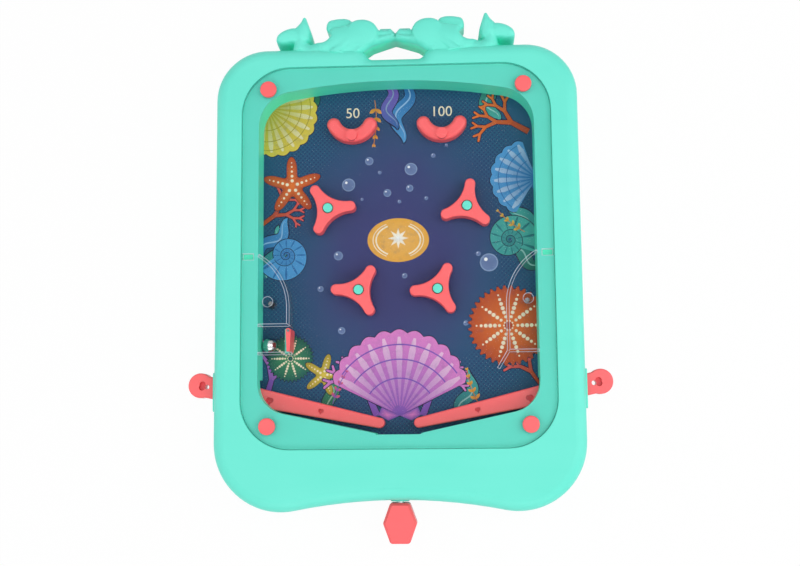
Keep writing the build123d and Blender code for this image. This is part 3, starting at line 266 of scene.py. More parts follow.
class Bench:
    """Adds the nodes of one material or of the world."""

    def __init__(self, owner: bpy.types.Material | bpy.types.World, output: str) -> None:
        """Starts a tree that holds only its output node.

        Args:
            owner: The material or the world.
            output: Type of its output node.
        """
        owner.use_nodes = True
        self.owner = owner
        self.tree = owner.node_tree
        self.tree.nodes.clear()
        self.output = self.add(output)

    @classmethod
    def for_material(cls, name: str) -> "Bench":
        """Bench of a new material."""
        return cls(bpy.data.materials.new(name), "ShaderNodeOutputMaterial")

    def add(
        self,
        kind: str,
        settings: dict[str, object] | None = None,
        sockets: dict[str | int, object] | None = None,
    ) -> bpy.types.Node:
        """Adds one node.

        Args:
            kind: The node's type.
            settings: Its settings, which are set first.
            sockets: Values, tones or wires for its inputs, by name or number.

        Returns:
            The node.
        """
        node = self.tree.nodes.new(kind)
        for key, value in (settings or {}).items():
            setattr(node, key, value)
        for key, given in (sockets or {}).items():
            entry = node.inputs[key]
            value = given.socket if isinstance(given, Wire) else ink_values(given)
            if isinstance(value, bpy.types.NodeSocket):
                self.tree.links.new(value, entry)
            elif entry.type == "RGBA":
                entry.default_value = (*value, 1.0)
            else:
                entry.default_value = value
        return node

    def surface(self, shader: bpy.types.Node) -> None:
        """Links a shader to the output."""
        self.tree.links.new(shader.outputs[0], self.output.inputs["Surface"])

    def backdrop(self) -> Wire:
        """1 for rays that show the backdrop: from the camera, mirrored or passed on; else 0."""
        path = self.add("ShaderNodeLightPath").outputs
        seen = Wire(self, path["Is Camera Ray"]).most(Wire(self, path["Is Glossy Ray"]))
        return seen.most(Wire(self, path["Is Transmission Ray"]))

    def place(self) -> bpy.types.NodeSocket:
        """Place on the piece, in metres of the row frame at rest."""
        return self.add("ShaderNodeTexCoord").outputs["Object"]

    def axes(self) -> tuple[Wire, Wire, Wire]:
        """The place's three coordinates."""
        node = self.add("ShaderNodeSeparateXYZ", None, {0: self.place()})
        return tuple(Wire(self, socket) for socket in node.outputs)

    def noise(self, scale: float, detail: float, stretch: Point | None = None) -> Wire:
        """Cloudy noise from 0 to 1.

        Args:
            scale: Features per metre.
            detail: Octaves of finer noise.
            stretch: Scale along X and Y, for streaks.

        Returns:
            The noise value.
        """
        place = self.place()
        if stretch:
            terms = {0: place, 1: (*stretch, 1.0)}
            place = self.add("ShaderNodeVectorMath", {"operation": "MULTIPLY"}, terms).outputs[0]
        sockets = {"Vector": place, "Scale": scale, "Detail": detail}
        return Wire(self, self.add("ShaderNodeTexNoise", None, sockets).outputs[0])

    def blend(self, share: Wire, first: object, second: object) -> bpy.types.NodeSocket:
        """Mix of two colours.

        Args:
            share: How much of the second colour shows.
            first: A colour, a tone or a colour socket.
            second: A colour, a tone or a colour socket.

        Returns:
            The mixed colour's socket.
        """
        sockets = {"Factor": share, 6: first, 7: second}
        return self.add("ShaderNodeMix", {"data_type": "RGBA"}, sockets).outputs[2]

    def bump(self, height: Wire, depth: float) -> bpy.types.NodeSocket:
        """Surface normal roughened by a height, where 1 stands for the depth in metres."""
        return self.add("ShaderNodeBump", None, {"Height": height, "Distance": depth}).outputs[0]

    def finish(self, **sockets: object) -> bpy.types.Material:
        """Ends the material in one Principled surface.

        Args:
            sockets: Inputs by name, with underscores for spaces.

        Returns:
            The material.
        """
        named = {key.replace("_", " "): value for key, value in sockets.items()}
        self.surface(self.add("ShaderNodeBsdfPrincipled", None, named))
        return self.owner


@dataclass(frozen=True)
class PaintedLightWell:
    """A sunken place whose plastic takes another colour than outside it: painted light where that colour
    is brighter, painted shade where it is deeper.
    """

    colour: Ink
    centre_y: float
    lip_z: float
    half_w: float = 0.1016
    half_l: float = 0.1255
    fade: float = 0.004
    floor_z: float = 0.0
    floor_fade: float = 0.0004
    blur: float = 0.03

    def share(self, bench: Bench) -> Wire:
        """1 in the well, fading to 0 at its lip, below its floor and outside it."""
        x, y, z = bench.axes()
        across = x * (1 / self.half_w)
        along = (y - self.centre_y) * (1 / self.half_l)
        inside = 1 - (across * across).most(along * along).eased(1 - self.blur, 1.0)
        below_lip = 1 - z.eased(self.lip_z - self.fade, self.lip_z)
        return inside * below_lip * z.eased(self.floor_z - self.floor_fade, self.floor_z)


@dataclass(frozen=True)
class MouldedPlastic:
    """Injection-moulded plastic: even colour with faint cloudiness, fine grain and a soft gloss, plus
    its wells of painted light and painted shade.
    """

    name: str
    colour: Ink
    deep: Ink
    roughness: float
    gloss: float = 0.5
    painted_wells: tuple[PaintedLightWell, ...] = ()
    cloud: float = 0.5
    cloud_scale: float = 22.0
    deep_share: float = 0.2
    flow_scale: float = 9.0
    flow_stretch: Point = (1.0, 6.0)
    flow_dulls: float = 0.12
    grain: float = 0.000012
    grain_scale: float = 2600.0
    grain_dulls: float = 0.1

    def material(self) -> bpy.types.Material:
        """The plastic as a material."""
        bench = Bench.for_material(self.name)
        cloud = bench.noise(self.cloud_scale, detail=3.0) - 0.5
        flow = bench.noise(self.flow_scale, detail=2.0, stretch=self.flow_stretch) - 0.5
        grain = bench.noise(self.grain_scale, detail=1.0)
        tint = (cloud + flow) * self.cloud + self.deep_share
        colour = bench.blend(tint.most(0.0), self.colour, self.deep)
        # Painted light and shade: each well blends its own colour in below its lip.
        for well in self.painted_wells:
            colour = bench.blend(well.share(bench), colour, well.colour)
        return bench.finish(
            Base_Color=colour,
            Roughness=self.roughness + flow * self.flow_dulls + (grain - 0.5) * self.grain_dulls,
            Specular_IOR_Level=self.gloss,
            Normal=bench.bump(grain, self.grain),
        )


@dataclass(frozen=True)
class ClearPlastic:
    """Clear polished sheet: dims what lies under it a little and whitens towards its edges, where it is
    seen edge-on, as a painted reflection.
    """

    name: str
    body: Ink
    edge: Ink
    haze: float
    edge_haze: float
    index: float = 1.49
    polish: float = 0.04
    smear: float = 0.06
    smear_haze: float = 0.02
    smear_scale: float = 40.0

    def material(self) -> bpy.types.Material:
        """The sheet as a material."""
        bench = Bench.for_material(self.name)
        # Painted reflection: the colour turns to the edge colour and the sheet grows less clear where it
        # is seen edge-on.
        facing = bench.add("ShaderNodeLayerWeight", None, {"Blend": 0.5}).outputs["Facing"]
        rim = Wire(bench, facing) ** 2.0
        smear = bench.noise(self.smear_scale, detail=3.0)
        return bench.finish(
            Base_Color=bench.blend(rim, self.body, self.edge),
            Roughness=self.polish + smear * self.smear,
            IOR=self.index,
            Alpha=self.haze + rim * self.edge_haze + (smear - 0.5) * self.smear_haze,
        )


@dataclass(frozen=True)
class BareMetal:
    """Bare steel: polished, drawn or plated, by its roughness and streaks."""

    name: str
    colour: Ink
    roughness: float
    streak: float
    streak_scale: float = 900.0
    streak_stretch: Point = (1.0, 0.1)
    streak_depth: float = 0.00002
    stain: float = 0.25
    stain_dark: float = 0.35
    stain_scale: float = 160.0

    def material(self) -> bpy.types.Material:
        """The steel as a material."""
        bench = Bench.for_material(self.name)
        streaks = bench.noise(self.streak_scale, detail=2.0, stretch=self.streak_stretch)
        stained = mixed(self.colour, BLACK, self.stain_dark)
        stain = bench.noise(self.stain_scale, detail=3.0) * self.stain
        return bench.finish(
            Base_Color=bench.blend(stain, self.colour, stained),
            Metallic=1.0,
            Roughness=self.roughness + (streaks - 0.5) * self.streak,
            Normal=bench.bump(streaks, self.streak * self.streak_depth),
        )


@dataclass(frozen=True)
class Rubber:
    """Moulded rubber with a dull, dusty face."""

    name: str
    colour: Ink
    dust: Ink
    dusty: float = 0.5
    dust_scale: float = 300.0
    dust_dulls: float = 0.2
    roughness: float = 0.75
    grain: float = 0.00004
    grain_scale: float = 1800.0

    def material(self) -> bpy.types.Material:
        """The rubber as a material."""
        bench = Bench.for_material(self.name)
        dust = bench.noise(self.dust_scale, detail=4.0)
        return bench.finish(
            Base_Color=bench.blend(dust * self.dusty, self.colour, self.dust),
            Roughness=self.roughness + (dust - 0.5) * self.dust_dulls,
            Normal=bench.bump(bench.noise(self.grain_scale, detail=2.0), self.grain),
        )


@dataclass(frozen=True)
class Card:
    """Coated card that carries a print: a dull sheen and a fine tooth."""

    gloss: float = 0.15
    roughness: float = 0.42
    uneven: float = 0.16
    tooth: float = 0.000008
    tooth_scale: float = 1500.0

    def finish(self, bench: Bench, colour: bpy.types.NodeSocket) -> bpy.types.Material:
        """Ends a print's material.

        Args:
            bench: The material's bench.
            colour: The printed colour.

        Returns:
            The material.
        """
        tooth = bench.noise(self.tooth_scale, detail=2.0)
        return bench.finish(
            Base_Color=colour,
            Specular_IOR_Level=self.gloss,
            Roughness=self.roughness + (tooth - 0.5) * self.uneven,
            Normal=bench.bump(tooth, self.tooth),
        )


@dataclass(frozen=True)
class BoardPrint:
    """Printed card: deep blue in the middle, teal towards the edges, with a halftone in between."""

    name: str
    middle: Ink
    edge: Ink
    dot: Ink
    centre_y: float
    card: Card = Card()
    reach_x: float = 0.088
    reach_y: float = 0.122
    wash: float = 0.35
    wash_scale: float = 28.0
    turns_teal: Point = (0.25, 1.05)
    dots_start: Point = (0.55, 0.85)
    dots_end: Point = (0.95, 1.3)
    dot_rim: Point = (0.24, 0.36)
    dot_ink: float = 0.75
    pitch: float = 0.0021

    def material(self) -> bpy.types.Material:
        """The print as a material."""
        bench = Bench.for_material(self.name)
        x, y, _ = bench.axes()
        across = x * (1 / self.reach_x)
        along = (y - self.centre_y) * (1 / self.reach_y)
        away = (across * across + along * along).root()
        wash = (bench.noise(self.wash_scale, detail=3.0) - 0.5) * self.wash
        ground = bench.blend((away + wash).eased(*self.turns_teal), self.middle, self.edge)
        per_metre = math.sqrt(0.5) / self.pitch
        cell_x, cell_y = ((line * per_metre).fraction() - 0.5 for line in (x + y, x - y))
        spread = (cell_x * cell_x + cell_y * cell_y).root()
        band = away.eased(*self.dots_start) * (1 - away.eased(*self.dots_end))
        dots = (1 - spread.eased(*self.dot_rim)) * band * self.dot_ink
        return self.card.finish(bench, bench.blend(dots, ground, self.dot))


@dataclass(frozen=True)
class InkPrint:
    """Printed inks: colours carried by the artwork's corners, with a faint press grain."""

    name: str
    layer: str
    shade: Ink
    card: Card = Card()
    press: float = 0.3
    press_scale: float = 260.0
    press_shows: Point = (0.45, 0.9)

    def material(self) -> bpy.types.Material:
        """The inks as a material."""
        bench = Bench.for_material(self.name)
        ink = bench.add("ShaderNodeVertexColor", {"layer_name": self.layer}).outputs["Color"]
        press = bench.noise(self.press_scale, detail=4.0).eased(*self.press_shows) * self.press
        return self.card.finish(bench, bench.blend(press, ink, self.shade))


def new_piece(name: str, mesh: bpy.types.Mesh, body: str) -> bpy.types.Object:
    """Links a mesh as a piece that rides on a body.

    Args:
        name: The piece's name.
        mesh: Its mesh, in metres of the row frame.
        body: The body that it moves with.

    Returns:
        The piece.
    """
    piece = bpy.data.objects.new(name, mesh)
    bpy.context.scene.collection.objects.link(piece)
    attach(piece, body)
    LOG.info("%s rides on %s", name, body)
    return piece


def to_mesh(shape: bmesh.types.BMesh, name: str, *finishes: bpy.types.Material) -> bpy.types.Mesh:
    """Ends the work on a shape.

    Args:
        shape: The shape, which is freed.
        name: Name of its mesh.
        finishes: Its materials in the order of the faces' numbers.

    Returns:
        The mesh.
    """
    mesh = bpy.data.meshes.new(name)
    shape.to_mesh(mesh)
    shape.free()
    for finish in finishes:
        mesh.materials.append(finish)
    return mesh


def dress(material: bpy.types.Material, names: Iterable[str]) -> None:
    """Gives CAD nodes a finish.

    Args:
        material: The finish.
        names: The nodes that get it.
    """
    for name in names:
        node = frame["nodes"][name]
        node.data.materials.clear()
        node.data.materials.append(material)
        LOG.info("%s wears %s", name, material.name)


def polar(place: Point, reach: float, turn: float) -> Point:
    """Point at a distance from a place, in a direction in degrees."""
    angle = math.radians(turn)
    return place[0] + reach * math.cos(angle), place[1] + reach * math.sin(angle)


def turned(point: Point, turn: float, place: Point) -> Point:
    """Point turned about the origin and moved to a place.

    Args:
        point: The point.
        turn: Angle in degrees.
        place: Where the origin goes.

    Returns:
        The moved point.
    """
    return polar(polar(place, point[0], turn), point[1], turn + 90)


@dataclass
class InkSheet:
    """Collects flat printed shapes, each a hair above those that it overlaps."""

    layout: Layout
    half_w: float = 91.6
    top_y: float = 116.6
    arch_r: float = 410.0
    film: float = 0.00002
    step: float = 0.0000006
    least_sides: int = 16
    sides_per_mm: int = 6
    lift: float = 0.0
    corners: list[Vector] = field(default_factory=list)
    inks: list[Colour] = field(default_factory=list)
    faces: list[list[int]] = field(default_factory=list)
    beds: list[tuple[Vector, Vector, float]] = field(default_factory=list)

    def pin(self, point: Point, ink: Ink) -> int:
        """Adds a corner, held inside the board, and gives its number."""
        x = max(-self.half_w, min(self.half_w, point[0]))
        y = min(point[1], self.top_y - x * x / (2 * self.arch_r))
        self.corners.append(self.layout.at(x, y, self.layout.field_z + self.film + self.lift))
        self.inks.append(ink_values(ink))
        return len(self.corners) - 1

    def settle(self, first: int) -> None:
        """Rests a motif on those that it overlaps and goes back to the board for the next one.

        Args:
            first: Number of the motif's first corner.
        """
        drawn = self.corners[first:]
        low = Vector(min(corner[axis] for corner in drawn) for axis in range(2))
        high = Vector(max(corner[axis] for corner in drawn) for axis in range(2))
        bed = max(
            (
                top
                for start, end, top in self.beds
                if all(start[axis] < high[axis] and low[axis] < end[axis] for axis in range(2))
            ),
            default=0.0,
        )
        for corner in drawn:
            corner.z += bed
        self.beds.append((low, high, bed + self.lift))
        self.lift = 0.0

    @contextmanager
    def level(self) -> Iterator[None]:
        """Prints what is drawn inside it at one height, since none of it overlaps."""
        step, self.step = self.step, 0.0
        yield
        self.step = step
        self.lift += step

    def fan(
        self, rim: Sequence[Point], heart: Point, rim_ink: Ink, heart_ink: Ink, closed: bool = True
    ) -> None:
        """Prints a shape shaded from its heart to its rim.

        Args:
            rim: The shape's corners in order.
            heart: A place that sees every corner.
            rim_ink: Colour along the rim.
            heart_ink: Colour at the heart.
            closed: Whether the rim runs all the way round the heart.
        """
        middle = self.pin(heart, heart_ink)
        ring = [self.pin(point, rim_ink) for point in rim]
        following = ring[1:] + ring[:1] if closed else ring[1:]
        self.faces += [[middle, a, b] for a, b in zip(ring, following)]
        self.lift += self.step

    def strip(
        self, spine: Sequence[Point], widths: Sequence[float], start: Ink, end: Ink | None = None
    ) -> None:
        """Prints a band along a line.

        Args:
            spine: Points along the band's middle.
            widths: Full width of the band at each point.
            start: Colour at the first point.
            end: Colour at the last point, where it is another one.
        """
        pairs = []
        for step, (place, width) in enumerate(zip(spine, widths)):
            before, after = spine[max(step - 1, 0)], spine[min(step + 1, len(spine) - 1)]
            turn = math.degrees(math.atan2(after[1] - before[1], after[0] - before[0]))
            ink = mixed(start, end or start, step / (len(spine) - 1))
            sides = (polar(place, width / 2, turn + side) for side in (90, -90))
            pairs.append([self.pin(side, ink) for side in sides])
        self.faces += [[*a, *reversed(b)] for a, b in zip(pairs, pairs[1:])]
        self.lift += self.step

    def disc(
        self,
        place: Point,
        radius: float,
        rim_ink: Ink,
        heart_ink: Ink | None = None,
        oval: float = 1.0,
    ) -> None:
        """Prints a round or oval spot.

        Args:
            place: Its centre.
            radius: Half its width.
            rim_ink: Colour along the rim.
            heart_ink: Colour at the centre, where it is another one.
            oval: Height over width.
        """
        count = max(self.least_sides, int(radius * self.sides_per_mm))
        rim = [
            (place[0] + radius * math.cos(turn), place[1] + radius * oval * math.sin(turn))
            for turn in (2 * math.pi * step / count for step in range(count))
        ]
        self.fan(rim, place, rim_ink, heart_ink or rim_ink)

    def mesh(self, name: str, layer: str) -> bpy.types.Mesh:
        """The collected shapes as one mesh.

        Args:
            name: The mesh's name.
            layer: Name of the colour layer that holds the inks.

        Returns:
            The mesh.
        """
        mesh = bpy.data.meshes.new(name)
        mesh.from_pydata(self.corners, [], self.faces)
        colours = mesh.color_attributes.new(layer, "FLOAT_COLOR", "POINT")
        for entry, ink in zip(colours.data, self.inks):
            entry.color = (*ink, 1.0)
        shape = bmesh.new()
        shape.from_mesh(mesh)
        upside_down = [face for face in shape.faces if face.normal.z < 0]
        bmesh.ops.reverse_faces(shape, faces=upside_down)
        shape.to_mesh(mesh)
        shape.free()
        return mesh


def motif(draw: Callable[..., None]) -> Callable[..., None]:
    """Settles what a printing method draws.

    Args:
        draw: The method.

    Returns:
        The method, whose motif then rests on those that it overlaps.
    """

    @wraps(draw)
    def laid(art: InkSheet, *details: object) -> None:
        """Prints the motif and settles it."""
        first = len(art.corners)
        draw(art, *details)
        art.settle(first)

    return laid


@dataclass
class SeaPrint(InkSheet):
    """The playfield's picture: shells, stars, corals, weed and bubbles round an amber badge."""

    line: float = 0.55
    em: float = 1.4

    def rosette(
        self,
        place: Point,
        turn: float,
        steps: int,
        reach: Callable[[float], float],
        dark: Tone,
        light: Tone,
    ) -> None:
        """Prints a round shape over its dark outline.

        Args:
            place: Its middle.
            turn: Direction of its first corner, in degrees.
            steps: Number of its corners.
            reach: Gives a corner's distance from the middle, by its angle in radians.
            dark: Colour along the rim.
            light: Colour in the middle.
        """
        for grow, rim_ink, heart_ink in ((self.line, Tone.LINE, Tone.LINE), (0.0, dark, light)):
            angles = (360 * step / steps for step in range(steps))
            rim = [polar(place, reach(math.radians(a)) + grow, turn + a) for a in angles]
            self.fan(rim, place, rim_ink, heart_ink)

    @motif
    def bubble(self, place: Point, radius: float) -> None:
        """Prints a bubble with a pale rim and a glint."""
        inside, clear, glint, aside = 0.88, 0.3, 0.2, 0.35
        spot = (place[0] - radius * aside, place[1] + radius * aside)
        self.disc(place, radius, Tone.BUBBLE_RIM)
        self.disc(place, radius * inside, Tone.BUBBLE, mixed(Tone.BUBBLE, Tone.NAVY, clear))
        self.disc(spot, radius * glint, Tone.PAPER)

    @motif
    def scallop(
        self, place: Point, radius: float, turn: float, dark: Tone, light: Tone, ribs: int
    ) -> None:
        """Prints a fan shell.

        Args:
            place: Its hinge.
            radius: Length from hinge to lip.
            turn: Direction of its middle rib, in degrees.
            dark: Colour in the furrows and at the hinge.
            light: Colour of the ribs.
            ribs: Number of ribs.
        """
        spread, count, bulge, droop = 128.0, ribs * 8, 0.045, 0.12
        rib_inset, rib_tint, line_w = 0.05, 0.4, 0.016
        ear_rim, ear_heart = ((0.10, 0.22), (0.01, 0.26), (-0.06, 0.14)), (0.01, 0.15)
        rib_shape = ((0.12, 0.12), (0.35, 0.4), (0.6, 0.7), (0.8, 0.9), (0.96, 0.35))

        def lip(share: float, grow: float) -> tuple[float, float]:
            """Reach and direction of the scalloped lip, from one end to the other."""
            wave = bulge * abs(math.sin(math.pi * ribs * share)) - droop * (2 * share - 1) ** 2
            return radius * (1 + wave) + grow, turn + spread * (share - 0.5)

        for grow, rim_ink, heart_ink in ((self.line, Tone.LINE, Tone.LINE), (0.0, light, dark)):
            rim = [polar(place, *lip(step / count, grow)) for step in range(count + 1)]
            self.fan(rim, polar(place, -2 * grow, turn), rim_ink, heart_ink, closed=False)
        for ear in (-radius, radius):
            *rim, heart = (
                turned((x * radius, y * ear), turn, place) for x, y in (*ear_rim, ear_heart)
            )
            self.fan([*rim, place], heart, dark, light)
        start, end = mixed(dark, light, rib_tint), mixed(light, Tone.PAPER, rib_tint)
        with self.level():
            for rib in range(ribs):
                reach, way = lip((rib + 0.5) / ribs, -rib_inset * radius)
                spine = [polar(place, reach * along, way) for along, _ in rib_shape]
                self.strip(spine, [radius / ribs * width for _, width in rib_shape], start, end)
        for ring in (0.45, 0.68, 0.86):
            shares = (step / 40 - 0.5 for step in range(3, 38))
            arc = [polar(place, radius * ring, turn + spread * share) for share in shares]
            self.strip(arc, [line_w * radius] * len(arc), dark)

    @motif
    def starfish(self, place: Point, radius: float, turn: float, dark: Tone, light: Tone) -> None:
        """Prints a five-armed star with dotted arms."""
        arms, heart, slim, bead, tip = 5, 0.36, 1.6, 0.055, 1.2

        def reach(angle: float) -> float:
            """Distance of the soft star outline from the middle."""
            arm = (0.5 + 0.5 * math.cos(arms * angle)) ** slim
            return radius * (heart + (1 - heart) * arm)

        self.rosette(place, turn, 100, reach, dark, light)
        with self.level():
            for arm in range(arms):
                for along in (0.18, 0.34, 0.5, 0.66, 0.8):
                    spot = polar(place, radius * along, turn + 360 / arms * arm)
                    self.disc(spot, radius * bead * (tip - along), Tone.CREAM)

    @motif
    def urchin(self, place: Point, radius: float, dark: Tone, light: Tone) -> None:
        """Prints a round spiny shell with rows of beads."""
        spike, spikes, rows, beads = 0.12, 18, 10, 7
        bead, least_bead, crown = 0.05, 0.15, 0.11

        def reach(angle: float) -> float:
            """Distance of the spiny outline from the middle."""
            return radius * (1 + spike * abs(math.sin(spikes * angle)) ** 3)

        self.rosette(place, 0.0, 180, reach, dark, light)
        with self.level():
            for row in range(rows):
                for number in range(1, beads + 1):
                    along = number / (beads + 1)
                    size = radius * bead * math.sin(math.pi * along) + least_bead
                    self.disc(polar(place, radius * along, 360 / rows * row), size, Tone.CREAM)
        self.disc(place, radius * crown, dark)

    @motif
    def whelk(self, place: Point, radius: float, turn: float, dark: Tone, light: Tone) -> None:
        """Prints a coiled shell with crosswise bands.

        Args:
            place: The middle of its coil.
            radius: Reach of its mouth's middle line.
            turn: Direction of its mouth, in degrees.
            dark: Colour at the coil's heart and of the bands.
            light: Colour at the mouth.
        """
        per_turn, turns, shrink = 36, 3, 0.42
        girth = 2 * (1 - shrink) / (1 + shrink)
        band_w, band_tint, band_every, seam_w, seam_side = 0.09, 0.75, 3, 0.03, -0.98
        band_shape = ((-0.92, 0.4), (-0.4, 1.0), (0.2, 1.5), (0.92, 0.6))

        def size(step: int) -> float:
            """Reach of the coil's middle line."""
            return radius * shrink ** (step / per_turn)

        def whorl(step: int, side: float = 0.0) -> Point:
            """Point of the coil, on its middle line or on one side of it."""
            reach = size(step) * (1 + side * girth / 2)
            return polar(place, reach, turn + 360 * step / per_turn)

        for count, extra, start, end in (
            (per_turn + 1, 2 * self.line, Tone.LINE, Tone.LINE),
            (per_turn * turns, 0.0, light, dark),
        ):
            steps = range(count)
            widths = [girth * size(step) + extra for step in steps]
            self.strip([whorl(step) for step in steps], widths, start, end)
        with self.level():
            for band in range(1, 2 * per_turn, band_every):
                across = [whorl(band, side) for side, _ in band_shape]
                widths = [band_w * size(band) * width for _, width in band_shape]
                self.strip(across, widths, mixed(light, dark, band_tint), dark)
        seam = [whorl(step, seam_side) for step in range(2 * per_turn)]
        self.strip(seam, [seam_w * radius] * len(seam), Tone.LINE)

    @motif
    def coral(
        self, place: Point, size: float, turn: float, dark: Tone, light: Tone, depth: int = 4
    ) -> None:
        """Prints a branching coral.

        Args:
            place: Its root.
            size: Length of the first branch.
            turn: Direction of the first branch, in degrees.
            dark: Colour at the root.
            light: Colour at the tips.
            depth: How many times it forks.
        """
        girth, least_girth, taper = 0.26, 0.5, 0.8
        forks = ((0.78, 27.0), (0.7, -31.0))
        tip_bends = (0.0, 0.5, 0.9, 1.25, 1.5)
        runs: list[tuple[Point, float, float, int]] = []

        def grow(root: Point, length: float, angle: float, left: int) -> None:
            """Adds a branch and the two that fork from it."""
            runs.append((root, length, angle, left))
            if left:
                for shorter, bend in forks:
                    tip = polar(root, length, angle)
                    grow(tip, length * shorter, angle + bend, left - 1)

        grow(place, size, turn, depth)
        for extra, outline in ((2 * self.line, True), (0.0, False)):
            for root, length, angle, left in runs:
                inks = [mixed(light, dark, age / (depth + 1)) for age in (left + 1, left)]
                if outline:
                    inks = [Tone.LINE]
                width = girth * length + least_girth
                broad, slim = width + extra, width * taper + extra
                reaches = (length + slim / 2 * math.sin(bend) for bend in tip_bends)
                spine = [root, *(polar(root, reach, angle) for reach in reaches)]
                self.strip(spine, [broad, *(slim * math.cos(bend) for bend in tip_bends)], *inks)

    @motif
    def weed(
        self, place: Point, length: float, width: float, turn: float, dark: Tone, light: Tone
    ) -> None:
        """Prints a waving blade of weed with a pale midrib."""
        steps, root_w, full, sway, bends = 24, 0.12, 0.7, 0.1, 1.3
        rib_l, rib_w, least_rib, rib_tint = 0.92, 0.1, 0.1, 0.25
        shares = [step / steps for step in range(steps + 1)]
        grown = (min(1.0, root_w + (1 - root_w) * share) for share in shares)
        swell = [math.sin(math.pi * share) ** full for share in grown]

        def spine(reach: float) -> list[Point]:
            """Wavy midline."""
            waves = ((s, sway * length * math.sin(2 * math.pi * bends * s)) for s in shares)
            return [turned((reach * share, wave), turn, place) for share, wave in waves]

        for extra, start, end in ((2 * self.line, Tone.LINE, Tone.LINE), (0.0, dark, light)):
            self.strip(spine(length + extra / 2), [width * s + extra for s in swell], start, end)
        midrib = [rib_w * width * s + least_rib for s in swell]
        self.strip(spine(length * rib_l), midrib, mixed(light, Tone.PAPER, rib_tint))

    @motif
    def sprig(self, place: Point, length: float, turn: float, dark: Tone, light: Tone) -> None:
        """Prints a stalk with paired round leaves."""
        leaf_shape = ((0.0, 0.1), (0.25, 0.4), (0.5, 0.52), (0.75, 0.42), (1.0, 0.06))
        steps, sway, bend, stalk_w = 10, 0.05, 0.3, 0.5
        leaf_l, leaf_less, leaf_turn, turn_less = 0.17, 0.12, 52, 8
        waves = (sway * length * math.sin(bend * step) for step in range(steps + 1))
        spine = ((length * step / steps, wave) for step, wave in enumerate(waves))
        stalk = [turned(point, turn, place) for point in spine]
        self.strip(stalk, [stalk_w] * len(stalk), dark)
        for pair, root in enumerate(stalk[2::2]):
            leaf = leaf_l * length * (1 - leaf_less * pair)
            for side in (-1, 1):
                way = turn + side * (leaf_turn - turn_less * pair)
                blade = [polar(root, leaf * along, way) for along, _ in leaf_shape]
                self.strip(blade, [leaf * width for _, width in leaf_shape], dark, light)

    @motif
    def badge(self, place: Point, half_w: float, oval: float) -> None:
        """Prints the amber oval with a cream star and two curved lines on each side."""
        glow, rise, rays, ray, notch = 0.12, 0.06, 8, 0.34, 0.15
        self.disc(place, half_w, Tone.AMBER, mixed(Tone.AMBER, Tone.CREAM, glow), oval)
        heart = (place[0], place[1] + rise * half_w)
        reaches = (ray * half_w, notch * half_w) * rays
        star = [polar(heart, reach, 90 + 180 / rays * step) for step, reach in enumerate(reaches)]
        self.fan(star, heart, Tone.CREAM, Tone.PAPER)
        angles = [math.radians(angle) for angle in range(-62, 63, 4)]
        for grow, width in ((0.72, 0.05), (0.82, 0.028)):
            reach = grow * half_w
            for side in (-reach, reach):
                arc = [
                    (place[0] + side * math.cos(a), place[1] + reach * oval * math.sin(a))
                    for a in angles
                ]
                self.strip(arc, [width * half_w] * len(arc), Tone.CREAM)

    @motif
    def figure(self, text: str, place: Point, height: float) -> None:
        """Prints a score in plain figures.

        Args:
            text: The figures.
            place: Their middle.
            height: Their height.
        """
        curve = bpy.data.curves.new("score", "FONT")
        curve.body = text
        curve.align_x = curve.align_y = "CENTER"
        curve.size = height * self.em
        holder = bpy.data.objects.new("score", curve)
        outline = bpy.data.meshes.new_from_object(holder)
        base = len(self.corners)
        for vertex in outline.vertices:
            self.pin((place[0] + vertex.co.x, place[1] + vertex.co.y), Tone.CREAM)
        self.faces += [[base + corner for corner in face.vertices] for face in outline.polygons]
        self.lift += self.step
        bpy.data.objects.remove(holder)
        bpy.data.curves.remove(curve)
        bpy.data.meshes.remove(outline)

    def compose(self) -> None:
        """Prints every motif in its place, from the lowest to the highest."""
        for place, radius in (
            ((-33, 50), 4.4), ((-19, 66), 2.8), ((-7, 44), 2.6), ((9, 60), 4.2), ((8, 47), 2.4),
            ((24, 69), 1.5), ((-12, 58), 1.2), ((1, 38), 1.2), ((19, 40), 1.3), ((-24, 40), 1.0),
            ((-40, 2), 3.0), ((60, -4), 6.0), ((53, 2), 1.6), ((-52, -20), 2.0), ((44, -44), 1.7),
            ((-38, -48), 2.4), ((33, 76), 1.0), ((4, -12), 1.8),
        ):
            self.bubble(place, radius)
        for details in (
            ((-58, 116), 30, 11, 252, Tone.GREEN_DEEP, Tone.GREEN),
            ((-70, 118), 24, 9, 285, Tone.SEA_DEEP, Tone.GREEN),
            ((6, 118), 40, 9, 262, Tone.BLUE_DEEP, Tone.BLUE),
            ((-6, 118), 31, 8, 276, Tone.PURPLE, Tone.BLUE_DEEP),
            ((58, 118), 28, 10, 288, Tone.GREEN_DEEP, Tone.SEA),
            ((-88, -12), 36, 9, 72, Tone.SEA_DEEP, Tone.SEA),
            ((-92, 4), 30, 8, 48, Tone.BLUE_DEEP, Tone.BLUE),
            ((92, 6), 34, 10, 118, Tone.SEA_DEEP, Tone.SEA),
            ((93, -6), 28, 9, 150, Tone.GREEN_DEEP, Tone.SEA),
            ((-44, -104), 32, 8, 98, Tone.GREEN_DEEP, Tone.GREEN),
            ((40, -104), 30, 8, 74, Tone.SEA_DEEP, Tone.SEA),
        ):
            self.weed(*details)
        self.coral((88, 84), 13, 150, Tone.ORANGE_DEEP, Tone.ORANGE)
        self.coral((-92, 24), 11, 34, Tone.ORANGE_DEEP, Tone.CORAL)
        self.coral((-88, -92), 13, 74, Tone.PURPLE, Tone.PINK)
        self.coral((92, -84), 10, 128, Tone.ORANGE_DEEP, Tone.CORAL, 3)
        self.scallop((-88, 104), 34, -42, Tone.YELLOW_DEEP, Tone.YELLOW, 9)
        self.scallop((93, 52), 30, 174, Tone.BLUE_DEEP, Tone.BLUE, 8)
